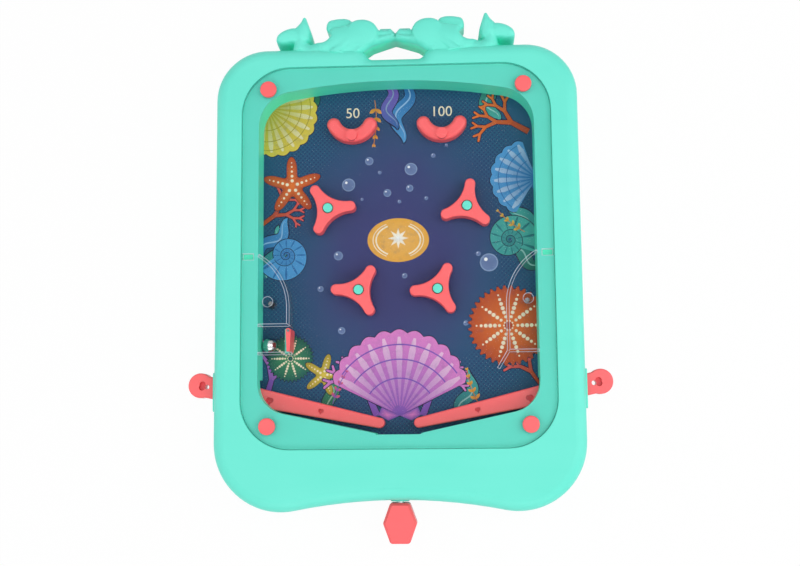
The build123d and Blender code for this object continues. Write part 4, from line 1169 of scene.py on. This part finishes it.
        self.starfish((-71, 50), 20, 20, Tone.ORANGE_DEEP, Tone.ORANGE)
        self.whelk((-75, 3), 14, 200, Tone.BLUE_DEEP, Tone.BLUE)
        self.whelk((74, 11), 15, 330, Tone.SEA_DEEP, Tone.SEA)
        self.urchin((72, -46), 24, Tone.ORANGE_DEEP, Tone.ORANGE)
        self.urchin((-72, -66), 14, Tone.GREEN_DEEP, Tone.GREEN)
        self.starfish((-50, -77), 14, 75, Tone.YELLOW_DEEP, Tone.YELLOW)
        self.coral((-15, -104), 15, 112, Tone.PURPLE, Tone.PINK)
        self.coral((15, -104), 15, 68, Tone.PURPLE, Tone.PINK)
        self.scallop((0, -104), 54, 90, Tone.PURPLE, Tone.PINK, 11)
        self.sprig((-15, 108), 30, 268, Tone.AMBER_DEEP, Tone.AMBER)
        self.sprig((-44, -96), 22, 66, Tone.PURPLE, Tone.CORAL)
        self.sprig((52, -98), 24, 108, Tone.AMBER_DEEP, Tone.AMBER)
        self.sprig((84, 16), 22, 140, Tone.AMBER_DEEP, Tone.YELLOW)
        self.badge((0, 12), 20.5, 0.72)
        self.figure("50", (-30, 99), 7.0)
        self.figure("100", (30, 99), 7.0)

    def build(self) -> bpy.types.Object:
        """Prints the whole picture.

        Returns:
            The printed piece.
        """
        self.compose()
        thickness = self.film + max(top for *_, top in self.beds)
        LOG.info("the inks are %.3f mm thick", thickness / MM)
        piece = new_piece("printed_art", self.mesh("printed_art", "ink"), "case")
        piece.data.materials.append(InkPrint("printed_inks", "ink", Tone.TEAL).material())
        return piece


def rounded(gap: np.ndarray, radius: float) -> np.ndarray:
    """Drop of a rounded edge below its flat.

    Args:
        gap: Distances from the edge.
        radius: Radius of the rounding.

    Returns:
        The drop at each distance.
    """
    short = radius - np.minimum(gap, radius)
    return radius - np.sqrt(np.maximum(radius**2 - short**2, 0.0))


@dataclass(frozen=True)
class Form:
    """A rounded form along a line of the crest, in millimetres, its top set against the frame's."""

    start: Point
    end: Point
    radius: float
    top: float
    crown: float

    def gap(self, x: np.ndarray, y: np.ndarray) -> np.ndarray:
        """Distance of places from the form's line.

        Args:
            x: Places across.
            y: Places towards the crest.

        Returns:
            One distance for each place.
        """
        run_x, run_y = self.end[0] - self.start[0], self.end[1] - self.start[1]
        from_x, from_y = x - self.start[0], y - self.start[1]
        share = np.clip((from_x * run_x + from_y * run_y) / (run_x**2 + run_y**2), 0, 1)
        return np.hypot(from_x - share * run_x, from_y - share * run_y)


@dataclass
class DolphinCrest:
    """The two dolphins, sculpted over the outline that the frame's crest node gives."""

    layout: Layout
    weld: float = 0.000005
    flat: float = 0.00002
    probe_rise: float = 0.006
    touch: float = 0.00012
    sink: float = 0.0060
    edge_r: float = 0.0024
    edge_angles: tuple[int, ...] = (18, 36, 54, 72, 90)
    edge_slack: float = 0.97
    grid: float = 0.0006
    grid_slack: float = 1.05
    merge: float = 1e-7
    foot_r: float = 0.0012
    belt: float = 0.0004
    steep: float = 7.0
    soft: float = 0.6
    floor: float = -17.0
    lean: float = 0.38
    rim_drop: float = 0.0019
    most_drop: float = 0.0060
    seam: Form = Form((0.0, 140.0), (0.0, 154.0), 0.9, 0.0, 5.0)
    forms: tuple[Form, ...] = (
        Form((21.0, 149.0), (22.0, 149.0), 9.2, 0.6, 1.4),
        Form((22.0, 147.0), (38.0, 144.0), 8.6, 0.2, 2.2),
        Form((36.0, 145.0), (46.5, 140.4), 6.6, -1.2, 2.8),
        Form((46.0, 139.6), (57.0, 136.8), 5.4, -2.6, 3.2),
        Form((57.0, 136.8), (63.0, 140.0), 5.0, -2.6, 3.0),
        Form((63.0, 140.0), (63.4, 147.0), 4.2, -2.2, 2.8),
        Form((31.0, 156.0), (44.6, 154.6), 4.4, -4.4, 0.9),
        Form((40.0, 151.5), (45.4, 152.0), 3.6, -4.4, 0.9),
        Form((62.4, 149.0), (60.6, 154.0), 5.8, -1.4, 2.6),
        Form((60.6, 154.0), (59.8, 160.5), 4.0, -1.6, 2.4),
        Form((67.0, 148.8), (76.0, 147.8), 4.3, -1.8, 1.2),
        Form((69.0, 150.0), (75.0, 150.0), 4.0, -1.9, 1.0),
        Form((41.0, 135.0), (32.0, 142.6), 2.2, 0.2, 0.6),
        Form((0.0, 148.6), (13.0, 148.9), 3.6, -4.2, 0.8),
        Form((0.0, 145.6), (16.0, 143.4), 2.6, -2.6, 1.6),
        Form((15.0, 143.0), (24.0, 137.0), 5.6, -1.0, 2.4),
        Form((24.0, 140.0), (42.0, 137.0), 7.4, -1.4, 2.0),
    )

    def outline(self) -> tuple[np.ndarray, list[bool]]:
        """Outline of the crest, with the stretch on the case pushed into the case.

        Returns:
            The outline's points in order, and which of them lie in the case.
        """
        shell = bmesh.new()
        shell.from_mesh(frame["nodes"]["dolphin_crest"].data)
        bmesh.ops.remove_doubles(shell, verts=shell.verts, dist=self.weld)
        low = min(vertex.co.z for vertex in shell.verts)
        level = low + self.flat
        base = {face for face in shell.faces if all(v.co.z < level for v in face.verts)}
        links: dict[bmesh.types.BMVert, list[bmesh.types.BMVert]] = {}
        for edge in shell.edges:
            if sum(side in base for side in edge.link_faces) == 1:
                for vertex in edge.verts:
                    links.setdefault(vertex, []).append(edge.other_vert(vertex))
        start = next(iter(links))
        loop, last, here = [start], None, start
        while True:
            ahead = next(vertex for vertex in links[here] if vertex is not last)
            if ahead is start:
                break
            loop.append(ahead)
            last, here = here, ahead
        graph = bpy.context.evaluated_depsgraph_get()
        case = BVHTree.FromObject(frame["nodes"]["front_frame"], graph)
        points, held = [], []
        for vertex in loop:
            place = vertex.co.to_2d()
            _, normal, _, distance = case.find_nearest((*place, low + self.probe_rise))
            on_case = distance < self.touch
            points.append(place - normal.to_2d() * (self.sink if on_case else 0.0))
            held.append(on_case)
        shell.free()
        return np.array(points), held

    def relief(self, x: np.ndarray, y: np.ndarray) -> np.ndarray:
        """Height of the sculpted top.

        Args:
            x: Places across, in metres.
            y: Places towards the crest, in metres.

        Returns:
            The heights in metres.
        """
        across = np.abs(x) / MM
        along = (y - self.layout.centre_y) / MM
        height = np.full_like(across, self.floor)
        for form in self.forms:
            gap = form.gap(across, along)
            dome = form.top - form.crown * np.minimum(gap / form.radius, 1.0) ** 2
            dome -= self.steep * np.maximum(gap - form.radius, 0.0)
            lean = np.clip(0.5 + 0.5 * (dome - height) / self.soft, 0, 1)
            height = height + (dome - height) * lean + self.soft * lean * (1 - lean)
        seam_gap = self.seam.gap(across, along) / self.seam.radius
        notch = np.clip(1 - seam_gap**2, 0, 1) ** 2
        return self.layout.top_z + (height - self.seam.crown * notch) * MM

    @staticmethod
    def inward(rim: np.ndarray) -> np.ndarray:
        """Direction into the crest at each point of its outline.

        Args:
            rim: The outline's points in order.

        Returns:
            One unit vector for each point.
        """
        following = np.roll(rim, -1, axis=0)
        turn = following - np.roll(rim, 1, axis=0)
        area = (rim[:, 0] * following[:, 1] - following[:, 0] * rim[:, 1]).sum()
        inward = np.stack([-turn[:, 1], turn[:, 0]], 1) * np.sign(area)
        return inward / np.maximum(np.hypot(*inward.T), TINY)[:, None]

    def spread(self, rim: np.ndarray, held: Sequence[bool], flat_z: float) -> np.ndarray:
        """Outline moved out on its far side, where the sculpted rim lies below the node's flat top.

        Args:
            rim: The outline's points in order.
            held: Which of them lie in the case.
            flat_z: Height of the node's flat top.

        Returns:
            The moved points.
        """
        inward = self.inward(rim)
        inset = rim + inward * self.edge_r
        drop = flat_z + self.rim_drop - self.relief(inset[:, 0], inset[:, 1])
        push = self.lean * np.clip(drop, 0.0, self.most_drop) * np.maximum(-inward[:, 1], 0.0)
        moved = rim.copy()
        moved[:, 1] += np.where(held, 0.0, push)
        return moved

    @staticmethod
    def gap(points: np.ndarray, starts: np.ndarray, ends: np.ndarray) -> np.ndarray:
        """Distance from points to the nearest of some straight runs.

        Args:
            points: The points.
            starts: Start of each run.
            ends: End of each run.

        Returns:
            One distance for each point.
        """
        runs = ends - starts
        squares = np.maximum((runs * runs).sum(1), TINY**2)
        nearest = np.full(len(points), np.inf)
        for start, run, square in zip(starts, runs, squares):
            share = np.clip(((points - start) @ run) / square, 0, 1)
            nearest = np.minimum(nearest, np.hypot(*(points - start - share[:, None] * run).T))
        return nearest

    def fill(self, rim: np.ndarray) -> tuple[np.ndarray, list[list[int]]]:
        """Fills the outline with points, dense along its rounded edge, and joins them by triangles.

        Args:
            rim: The outline's points in order.

        Returns:
            All the points, and the triangles between them.
        """
        following, inward = np.roll(rim, -1, axis=0), self.inward(rim)
        places = [rim]
        for angle in self.edge_angles:
            reach = self.edge_r * (1 - math.cos(math.radians(angle)))
            ring = rim + inward * reach
            places.append(ring[self.gap(ring, rim, following) > reach * self.edge_slack])
        low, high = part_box("dolphin_crest")
        columns = np.arange(low.x, high.x, self.grid)
        rows = np.arange(rim[:, 1].min(), rim[:, 1].max(), self.grid)
        grid = np.stack(np.meshgrid(columns, rows), -1).reshape(-1, 2)
        places.append(grid[self.gap(grid, rim, following) > self.edge_r * self.grid_slack])
        corners = list(range(len(rim)))
        loop = list(zip(corners, corners[1:] + corners[:1]))
        points = [Vector(point) for point in np.concatenate(places)]
        flat, _, faces, *_ = delaunay_2d_cdt(points, loop, [corners], 1, self.merge)
        return np.array([point[:] for point in flat]), faces

    def build(self, material: bpy.types.Material) -> bpy.types.Object:
        """Sculpts the crest.

        Args:
            material: Its plastic.

        Returns:
            The piece.
        """
        low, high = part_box("dolphin_crest")
        outline, held = self.outline()
        rim = self.spread(outline, held, high.z)
        free = np.array([not (a and b) for a, b in zip(held, held[1:] + held[:1])])
        flat, faces = self.fill(rim)
        edge_gap = self.gap(flat, rim[free], np.roll(rim, -1, axis=0)[free])
        tops = self.relief(flat[:, 0], flat[:, 1]) - rounded(edge_gap, self.edge_r)
        feet = low.z + rounded(edge_gap, self.foot_r)
        sculpt = bmesh.new()
        top = [sculpt.verts.new((*point, z)) for point, z in zip(flat, tops)]
        foot = [sculpt.verts.new((*point, z)) for point, z in zip(flat, feet)]
        for face in faces:
            sculpt.faces.new([top[corner] for corner in face])
            sculpt.faces.new([foot[corner] for corner in reversed(face)])
        sculpt.verts.index_update()
        rims = [[v.index for v in edge.verts] for edge in sculpt.edges if edge.is_boundary]
        walls = [wall for wall in rims if wall[0] < len(top)]
        belts = {
            corner: (
                top[corner],
                sculpt.verts.new((*flat[corner], tops[corner] - self.belt)),
                sculpt.verts.new((*flat[corner], feet[corner] + self.belt)),
                foot[corner],
            )
            for corner in {corner for wall in walls for corner in wall}
        }
        for a, b in walls:
            for row in range(len(belts[a]) - 1):
                left, right = belts[a][row : row + 2], belts[b][row : row + 2]
                sculpt.faces.new((left[0], *right, left[1]))
        bmesh.ops.recalc_face_normals(sculpt, faces=sculpt.faces)
        for face in sculpt.faces:
            face.smooth = True
        mesh = to_mesh(sculpt, "crest_sculpt", material)
        piece = new_piece("crest_sculpt", mesh, "case")
        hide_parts("dolphin_crest")
        return piece


class CoverFace(Enum):
    """What a face of the clear cover belongs to, by the number of its finish."""

    SHEET = 0
    # Bevels of ribs, cell and posts: painted highlights.
    EDGE = 1
    # The sheet's own edges: a teal line, tinted by the mint seen through them and darkened as painted
    # shade.
    RIM = 2
    # Lower edges of ribs and posts: fainter painted highlights.
    FOOT = 3


@dataclass
class ClearCover:
    """The clear cover with its ribs, cell and posts, its edges bevelled and carrying painted highlights
    and painted shade, and a hair off its seat.
    """

    thickness: float = 0.0020
    seat_gap: float = 0.00008
    seat_flat: float = 0.00002
    weld: float = 0.00003
    flat_angle: float = 0.5
    sharp_angle: float = 40.0
    bevel: float = 0.00030
    rim_reach: float = 0.0030

    def sort_edges(self, shape: bmesh.types.BMesh, low_z: float, seat: float) -> None:
        """Tells the sheet's own edges and the lower edges of ribs and posts from the other edges.

        Args:
            shape: The bevelled cover.
            low_z: Height of the lower ends of ribs and posts.
            seat: Height of the sheet's underside.
        """
        edges = [
            (face, face.calc_center_median())
            for face in shape.faces
            if face.material_index == CoverFace.EDGE.value
        ]
        crown = [place for _, place in edges if place.z > seat + self.thickness / 2]
        nearest = KDTree(len(crown))
        for number, place in enumerate(crown):
            nearest.insert(place, number)
        nearest.balance()
        for face, place in edges:
            if nearest.find(place)[2] < self.rim_reach:
                face.material_index = CoverFace.RIM.value
            elif place.z < (low_z + seat) / 2:
                face.material_index = CoverFace.FOOT.value

    def build(self, finishes: dict[CoverFace, bpy.types.Material]) -> bpy.types.Object:
        """Bevels a copy of the cover.

        Args:
            finishes: Its finishes, in the order of their numbers.

        Returns:
            The piece.
        """
        shape = bmesh.new()
        shape.from_mesh(frame["nodes"]["clear_cover"].data)
        bmesh.ops.remove_doubles(shape, verts=shape.verts, dist=self.weld)
        straight = math.radians(self.flat_angle)
        bmesh.ops.dissolve_limit(
            shape, angle_limit=straight, verts=shape.verts, edges=shape.edges
        )
        low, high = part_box("clear_cover")
        seat = high.z - self.thickness
        for vertex in shape.verts:
            if abs(vertex.co.z - seat) < self.seat_flat:
                vertex.co.z += self.seat_gap
        for face in shape.faces:
            face.material_index = CoverFace.SHEET.value
        sharp = math.radians(self.sharp_angle)
        made = bmesh.ops.bevel(
            shape,
            geom=[edge for edge in shape.edges if edge.calc_face_angle(0.0) > sharp],
            offset=self.bevel,
            offset_type="OFFSET",
            segments=2,
            profile=0.5,
            affect="EDGES",
            clamp_overlap=False,
            material=CoverFace.EDGE.value,
        )
        # Each bevel's finish paints a highlight on it, or shade on the sheet's own edges.
        LOG.info("%d cover edges polished", len(made["faces"]))
        self.sort_edges(shape, low.z, seat)
        for face in shape.faces:
            face.smooth = True
        mesh = to_mesh(shape, "cover_sheet", *finishes.values())
        mesh.set_sharp_from_angle(angle=sharp)
        piece = new_piece("cover_sheet", mesh, "case")
        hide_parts("clear_cover")
        return piece


@dataclass
class PlungerSpring:
    """The plunger's coil spring with closed ends, wound once at the length of its CAD node."""

    node: str = "plunger_spring"
    joint: str = "plunger_pull"
    wire_r: float = 0.0004
    turns: int = 7
    per_turn: int = 32
    sides: int = 12

    def build(self, material: bpy.types.Material) -> bpy.types.Object:
        """Winds the wire between the striker's hub and the bush.

        Args:
            material: Finish of the wire.

        Returns:
            The piece.
        """
        low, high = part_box(self.node)
        axis_x, axis_z = (low.x + high.x) / 2, (low.z + high.z) / 2
        radius = (high.x - low.x) / 2 - self.wire_r
        stations = [0, 1, self.turns - 1, self.turns]
        first, last = low.y + self.wire_r, high.y - self.wire_r
        places = [first, first + 2 * self.wire_r, last - 2 * self.wire_r, last]
        shape = bmesh.new()
        rings = []
        for step in range(self.turns * self.per_turn + 1):
            turn = step / self.per_turn
            y = float(np.interp(turn, stations, places))
            c, s = math.cos(2 * math.pi * turn), math.sin(2 * math.pi * turn)
            ring = []
            for around in (2 * math.pi * side / self.sides for side in range(self.sides)):
                reach = radius + self.wire_r * math.cos(around)
                place = (axis_x + reach * c, y + self.wire_r * math.sin(around), axis_z + reach * s)
                ring.append(shape.verts.new(place))
            rings.append(ring)
        for ring, following in zip(rings, rings[1:]):
            for side in range(self.sides):
                after = (side + 1) % self.sides
                corners = (ring[side], ring[after], following[after], following[side])
                shape.faces.new(corners).smooth = True
        for cap in (rings[0], rings[-1]):
            shape.faces.new(cap)
        bmesh.ops.recalc_face_normals(shape, faces=shape.faces)
        mesh = to_mesh(shape, "plunger_coil", material)
        piece = new_piece("plunger_coil", mesh, "case")
        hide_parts(self.node)
        joint = next(joint for joint in frame["joints"] if joint["name"] == self.joint)
        length = high.y - low.y
        keep = (length - joint["range_m"][1]) / length
        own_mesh(piece)
        return piece


@dataclass(frozen=True)
class Lamp:
    """One soft studio light."""

    name: str
    place: tuple[float, float, float]
    size: tuple[float, float]
    power: float

    def build(self, target: Vector) -> None:
        """Hangs the light so that it faces the target."""
        data = bpy.data.lights.new(self.name, "AREA")
        data.shape = "RECTANGLE"
        data.size, data.size_y = self.size
        data.energy = self.power
        lamp = bpy.data.objects.new(self.name, data)
        lamp.location = self.place
        lamp.rotation_euler = (target - lamp.location).to_track_quat("-Z", "Y").to_euler()
        bpy.context.scene.collection.objects.link(lamp)


@dataclass
class Studio:
    """White floor, soft light and the photograph's camera."""

    layout: Layout
    eye: tuple[float, float, float] = (37.456, -107.237, 707.247)
    pitch: float = 0.12328
    yaw: float = 0.04968
    roll: float = -0.01569
    lens: float = 50.0
    sensor: float = 36.0
    sight: float = 20.0
    floor_half: float = 3.0
    floor_gap: float = 0.0002
    floor_glow: float = 0.96
    floor_specks: float = 60.0
    floor_tones: tuple[Colour, Colour] = ((0.86, 0.86, 0.86), (0.9, 0.9, 0.9))
    sky: float = 0.40
    lamps: tuple[Lamp, ...] = (
        Lamp("overhead", (-0.1, 0.1, 1.7), (1.4, 1.4), 6.0),
        Lamp("front", (0.05, -1.25, 1.0), (1.8, 1.0), 8.0),
        Lamp("left_strip", (-1.25, 0.1, 0.65), (0.5, 1.6), 4.5),
        Lamp("right_strip", (1.05, 0.05, 0.85), (0.8, 1.8), 9.0),
    )

    def floor(self) -> None:
        """Lays the floor, white to the camera and to reflections, with the object's shadow kept."""
        bench = Bench.for_material("studio_floor")
        tone = bench.blend(bench.noise(self.floor_specks, detail=3.0), *self.floor_tones)
        matt = bench.add("ShaderNodeBsdfDiffuse", None, {"Color": tone}).outputs[0]
        glow = bench.add("ShaderNodeEmission", None, {"Color": WHITE, "Strength": 1.0}).outputs[0]
        shaders = {0: bench.backdrop() * self.floor_glow, 1: matt, 2: glow}
        bench.surface(bench.add("ShaderNodeMixShader", None, shaders))
        half = self.floor_half
        corners = [(-half, -half, 0), (half, -half, 0), (half, half, 0), (-half, half, 0)]
        mesh = bpy.data.meshes.new("studio_floor")
        mesh.from_pydata(corners, [], [(0, 1, 2, 3)])
        mesh.materials.append(bench.owner)
        floor = bpy.data.objects.new("studio_floor", mesh)
        floor.location.z = CAD_BOX[0][2] - self.floor_gap
        bpy.context.scene.collection.objects.link(floor)
        floor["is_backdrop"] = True

    def world(self) -> None:
        """Makes the sky soft on the object and white to the camera and to reflections."""
        bench = Bench(bpy.data.worlds.new("studio_world"), "ShaderNodeOutputWorld")
        shaders: dict[str | int, object] = {0: bench.backdrop()}
        for number, strength in ((1, self.sky), (2, 1.0)):
            sockets = {"Color": WHITE, "Strength": strength}
            shaders[number] = bench.add("ShaderNodeBackground", None, sockets).outputs[0]
        bench.surface(bench.add("ShaderNodeMixShader", None, shaders))
        bpy.context.scene.world = bench.owner

    def camera(self) -> None:
        """Sets the camera where the photograph was taken from."""
        data = bpy.data.cameras.new("photo_camera")
        data.sensor_width = self.sensor
        data.lens = self.lens
        data.clip_end = self.sight
        camera = bpy.data.objects.new("photo_camera", data)
        x, y, height = self.eye
        pose = Matrix.Translation(self.layout.at(x, y, self.layout.top_z + height * MM))
        for angle, axis in ((self.pitch, "X"), (self.yaw, "Y"), (self.roll, "Z")):
            pose = pose @ Matrix.Rotation(angle, 4, axis)
        camera.matrix_world = pose
        bpy.context.scene.collection.objects.link(camera)
        bpy.context.scene.camera = camera

    def build(self) -> None:
        """Sets the floor, lights, world and camera."""
        bpy.context.scene.view_settings.view_transform = "Standard"
        self.world()
        target = Vector((0.0, 0.0, self.layout.top_z))
        for lamp in self.lamps:
            lamp.build(target)
        self.floor()
        self.camera()
        LOG.info("studio is set")


@dataclass
class PinballGame:
    """The toy: which finish each CAD node wears, and the pieces that are made here."""

    layout: Layout
    mint: MouldedPlastic = MouldedPlastic("mint_plastic", Tone.MINT, Tone.MINT_DEEP, 0.4, 0.3)
    inner: MouldedPlastic = MouldedPlastic("inner_plastic", Tone.MINT_DEEP, Tone.MINT_INNER, 0.5)
    red: MouldedPlastic = MouldedPlastic("red_plastic", Tone.RED, Tone.RED_DEEP, 0.36)
    # Painted light: a brighter, purer mint on the walls round the playfield, which sit in shade in the
    # deep opening.
    wall_painted_light: Colour = linear(92, 250, 212)
    wall_lip: float = 0.0008
    # Painted shade: a deeper mint on the shelf under the cover.
    shelf: Colour = linear(92, 216, 196)
    shelf_fade: float = 0.0006
    # Painted light: a brighter, purer mint low on the crest's front, where it sits in shade.
    crest_painted_light: Colour = linear(56, 254, 220)
    crest_lip: float = 0.0035
    crest_reach: float = 0.011
    crest_blur: float = 0.5
    # Painted shade: a deeper red in the dents on the flippers' tops.
    dent_painted_shade: Colour = linear(222, 52, 62)
    dent_reach: float = 1.1
    dent_depth: float = 0.0022
    dent_lip: float = 0.00088
    dent_fade: float = 0.00066
    sheet: ClearPlastic = ClearPlastic(
        "clear_plastic", linear(44, 62, 70), linear(236, 246, 248), 0.012, 0.10
    )
    # Painted highlights: near-white, half-clear bevels along the ribs, cell and posts.
    sheet_edge_highlight: ClearPlastic = ClearPlastic(
        "clear_edge_highlight", linear(222, 231, 250), linear(250, 252, 255), 0.66, 0.3
    )
    # Partly real and partly painted shade: a teal line along the sheet's own edges, tinted by the mint
    # under them and darkened as painted shade.
    sheet_rim_shade: ClearPlastic = ClearPlastic(
        "clear_rim_shade", linear(52, 166, 156), linear(84, 190, 180), 0.55, 0.2
    )
    # Fainter painted highlights on the lower edges of ribs and posts.
    sheet_foot_highlight: ClearPlastic = ClearPlastic(
        "clear_foot_highlight", linear(150, 168, 182), linear(226, 236, 242), 0.10, 0.2
    )
    ball: BareMetal = BareMetal("polished_steel", (0.56, 0.57, 0.58), 0.06, 0.02)
    steel: BareMetal = BareMetal("drawn_steel", (0.62, 0.62, 0.63), 0.32, 0.2)
    zinc: BareMetal = BareMetal("zinc_plate", (0.58, 0.58, 0.55), 0.38, 0.15)
    dull: BareMetal = BareMetal("burnished_steel", (0.20, 0.20, 0.21), 0.5, 0.15)
    rubber: Rubber = Rubber("foot_rubber", linear(38, 40, 42), linear(74, 76, 78))

    def frame_plastic(self) -> MouldedPlastic:
        """Mint, with painted light on the walls round the playfield, where they sit in shade, and
        painted shade on the shelf under the cover.
        """
        top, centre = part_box("clear_cover")[1].z, self.layout.centre_y
        under = top - ClearCover.thickness
        # Painted light on the walls below the lip, then painted shade on the shelf under the cover.
        walls = PaintedLightWell(self.wall_painted_light, centre, top - self.wall_lip)
        shelf = PaintedLightWell(self.shelf, centre, top, fade=self.shelf_fade, floor_z=under)
        return replace(self.mint, name="frame_plastic", painted_wells=(walls, shelf))

    def flipper_plastic(self) -> MouldedPlastic:
        """Red, with painted shade in the dents along the levers' tops."""
        low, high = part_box("left_flipper")
        dents = PaintedLightWell(
            self.dent_painted_shade,
            (low.y + high.y) / 2,
            high.z - self.dent_lip,
            half_w=self.dent_reach * CAD_BOX[1][0],
            half_l=high.y - low.y,
            fade=self.dent_fade,
            floor_z=high.z - self.dent_depth,
        )
        return replace(self.red, name="flipper_plastic", painted_wells=(dents,))

    def crest_plastic(self) -> MouldedPlastic:
        """Mint, with painted light in the hollows at the crest's front, where they sit in shade."""
        low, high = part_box("dolphin_crest")
        lip, reach = high.z - self.crest_lip, self.crest_reach
        hollow = PaintedLightWell(self.crest_painted_light, low.y, lip, high.x, reach, blur=self.crest_blur)
        return replace(self.mint, name="crest_plastic", painted_wells=(hollow,))

    def dress_nodes(self) -> None:
        """Gives each CAD node that stays visible its finish."""
        corners = ("upper_left", "upper_right", "lower_left", "lower_right")
        spinners = [f"spinner_{corner}" for corner in corners]
        cups = ["left_catch_cup", "right_catch_cup"]
        plunger = ["plunger_knob", "plunger_striker"]
        tones = (Tone.NAVY, Tone.TEAL, Tone.DOT)
        board = BoardPrint("printed_board", *tones, self.layout.centre_y)
        for finish, names in (
            (self.mint, ("back_shell", "prop_stand", "spinner_posts")),
            (self.frame_plastic(), ("front_frame",)),
            (self.inner, ("playfield_tray", "plunger_bush")),
            (self.red, (*spinners, *cups, *plunger, "cover_caps", "ball_gate")),
            (self.flipper_plastic(), ("left_flipper", "right_flipper")),
            (self.ball, ("steel_ball",)),
            (self.zinc, ("tray_screws", "shell_screws")),
            (self.dull, ("cover_screws", "gate_pin")),
            (self.rubber, ("rubber_feet",)),
            (board, ("playfield_board",)),
        ):
            dress(finish.material(), names)

    def build(self) -> None:
        """Dresses the nodes and adds the cover, the plunger's spring, the print and the crest."""
        self.dress_nodes()
        clears = (self.sheet, self.sheet_edge_highlight, self.sheet_rim_shade, self.sheet_foot_highlight)
        ClearCover().build({face: clear.material() for face, clear in zip(CoverFace, clears)})
        steel = self.steel.material()
        springs = ("left_flipper_spring", "right_flipper_spring")
        dress(steel, ("flipper_pins", "plunger_rod", "stand_pin", *springs))
        PlungerSpring().build(steel)
        SeaPrint(self.layout).build()
        DolphinCrest(self.layout).build(self.crest_plastic().material())


def write_sizes() -> None:
    """Writes the CAD box and the dressed model's box for comparison."""
    boxes = {"cad": CAD_BOX, "visual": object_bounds()}
    plain = {name: [[float(value) for value in corner] for corner in box] for name, box in boxes.items()}
    LOG.info("sizes %s", plain)


def main() -> None:
    """Builds the dressed game and its studio."""
    logging.basicConfig(level=logging.INFO, format="%(name)s: %(message)s")
    layout = Layout.from_frame()
    PinballGame(layout).build()
    Studio(layout).build()
    write_sizes()


if __name__ == "__main__":
    main()
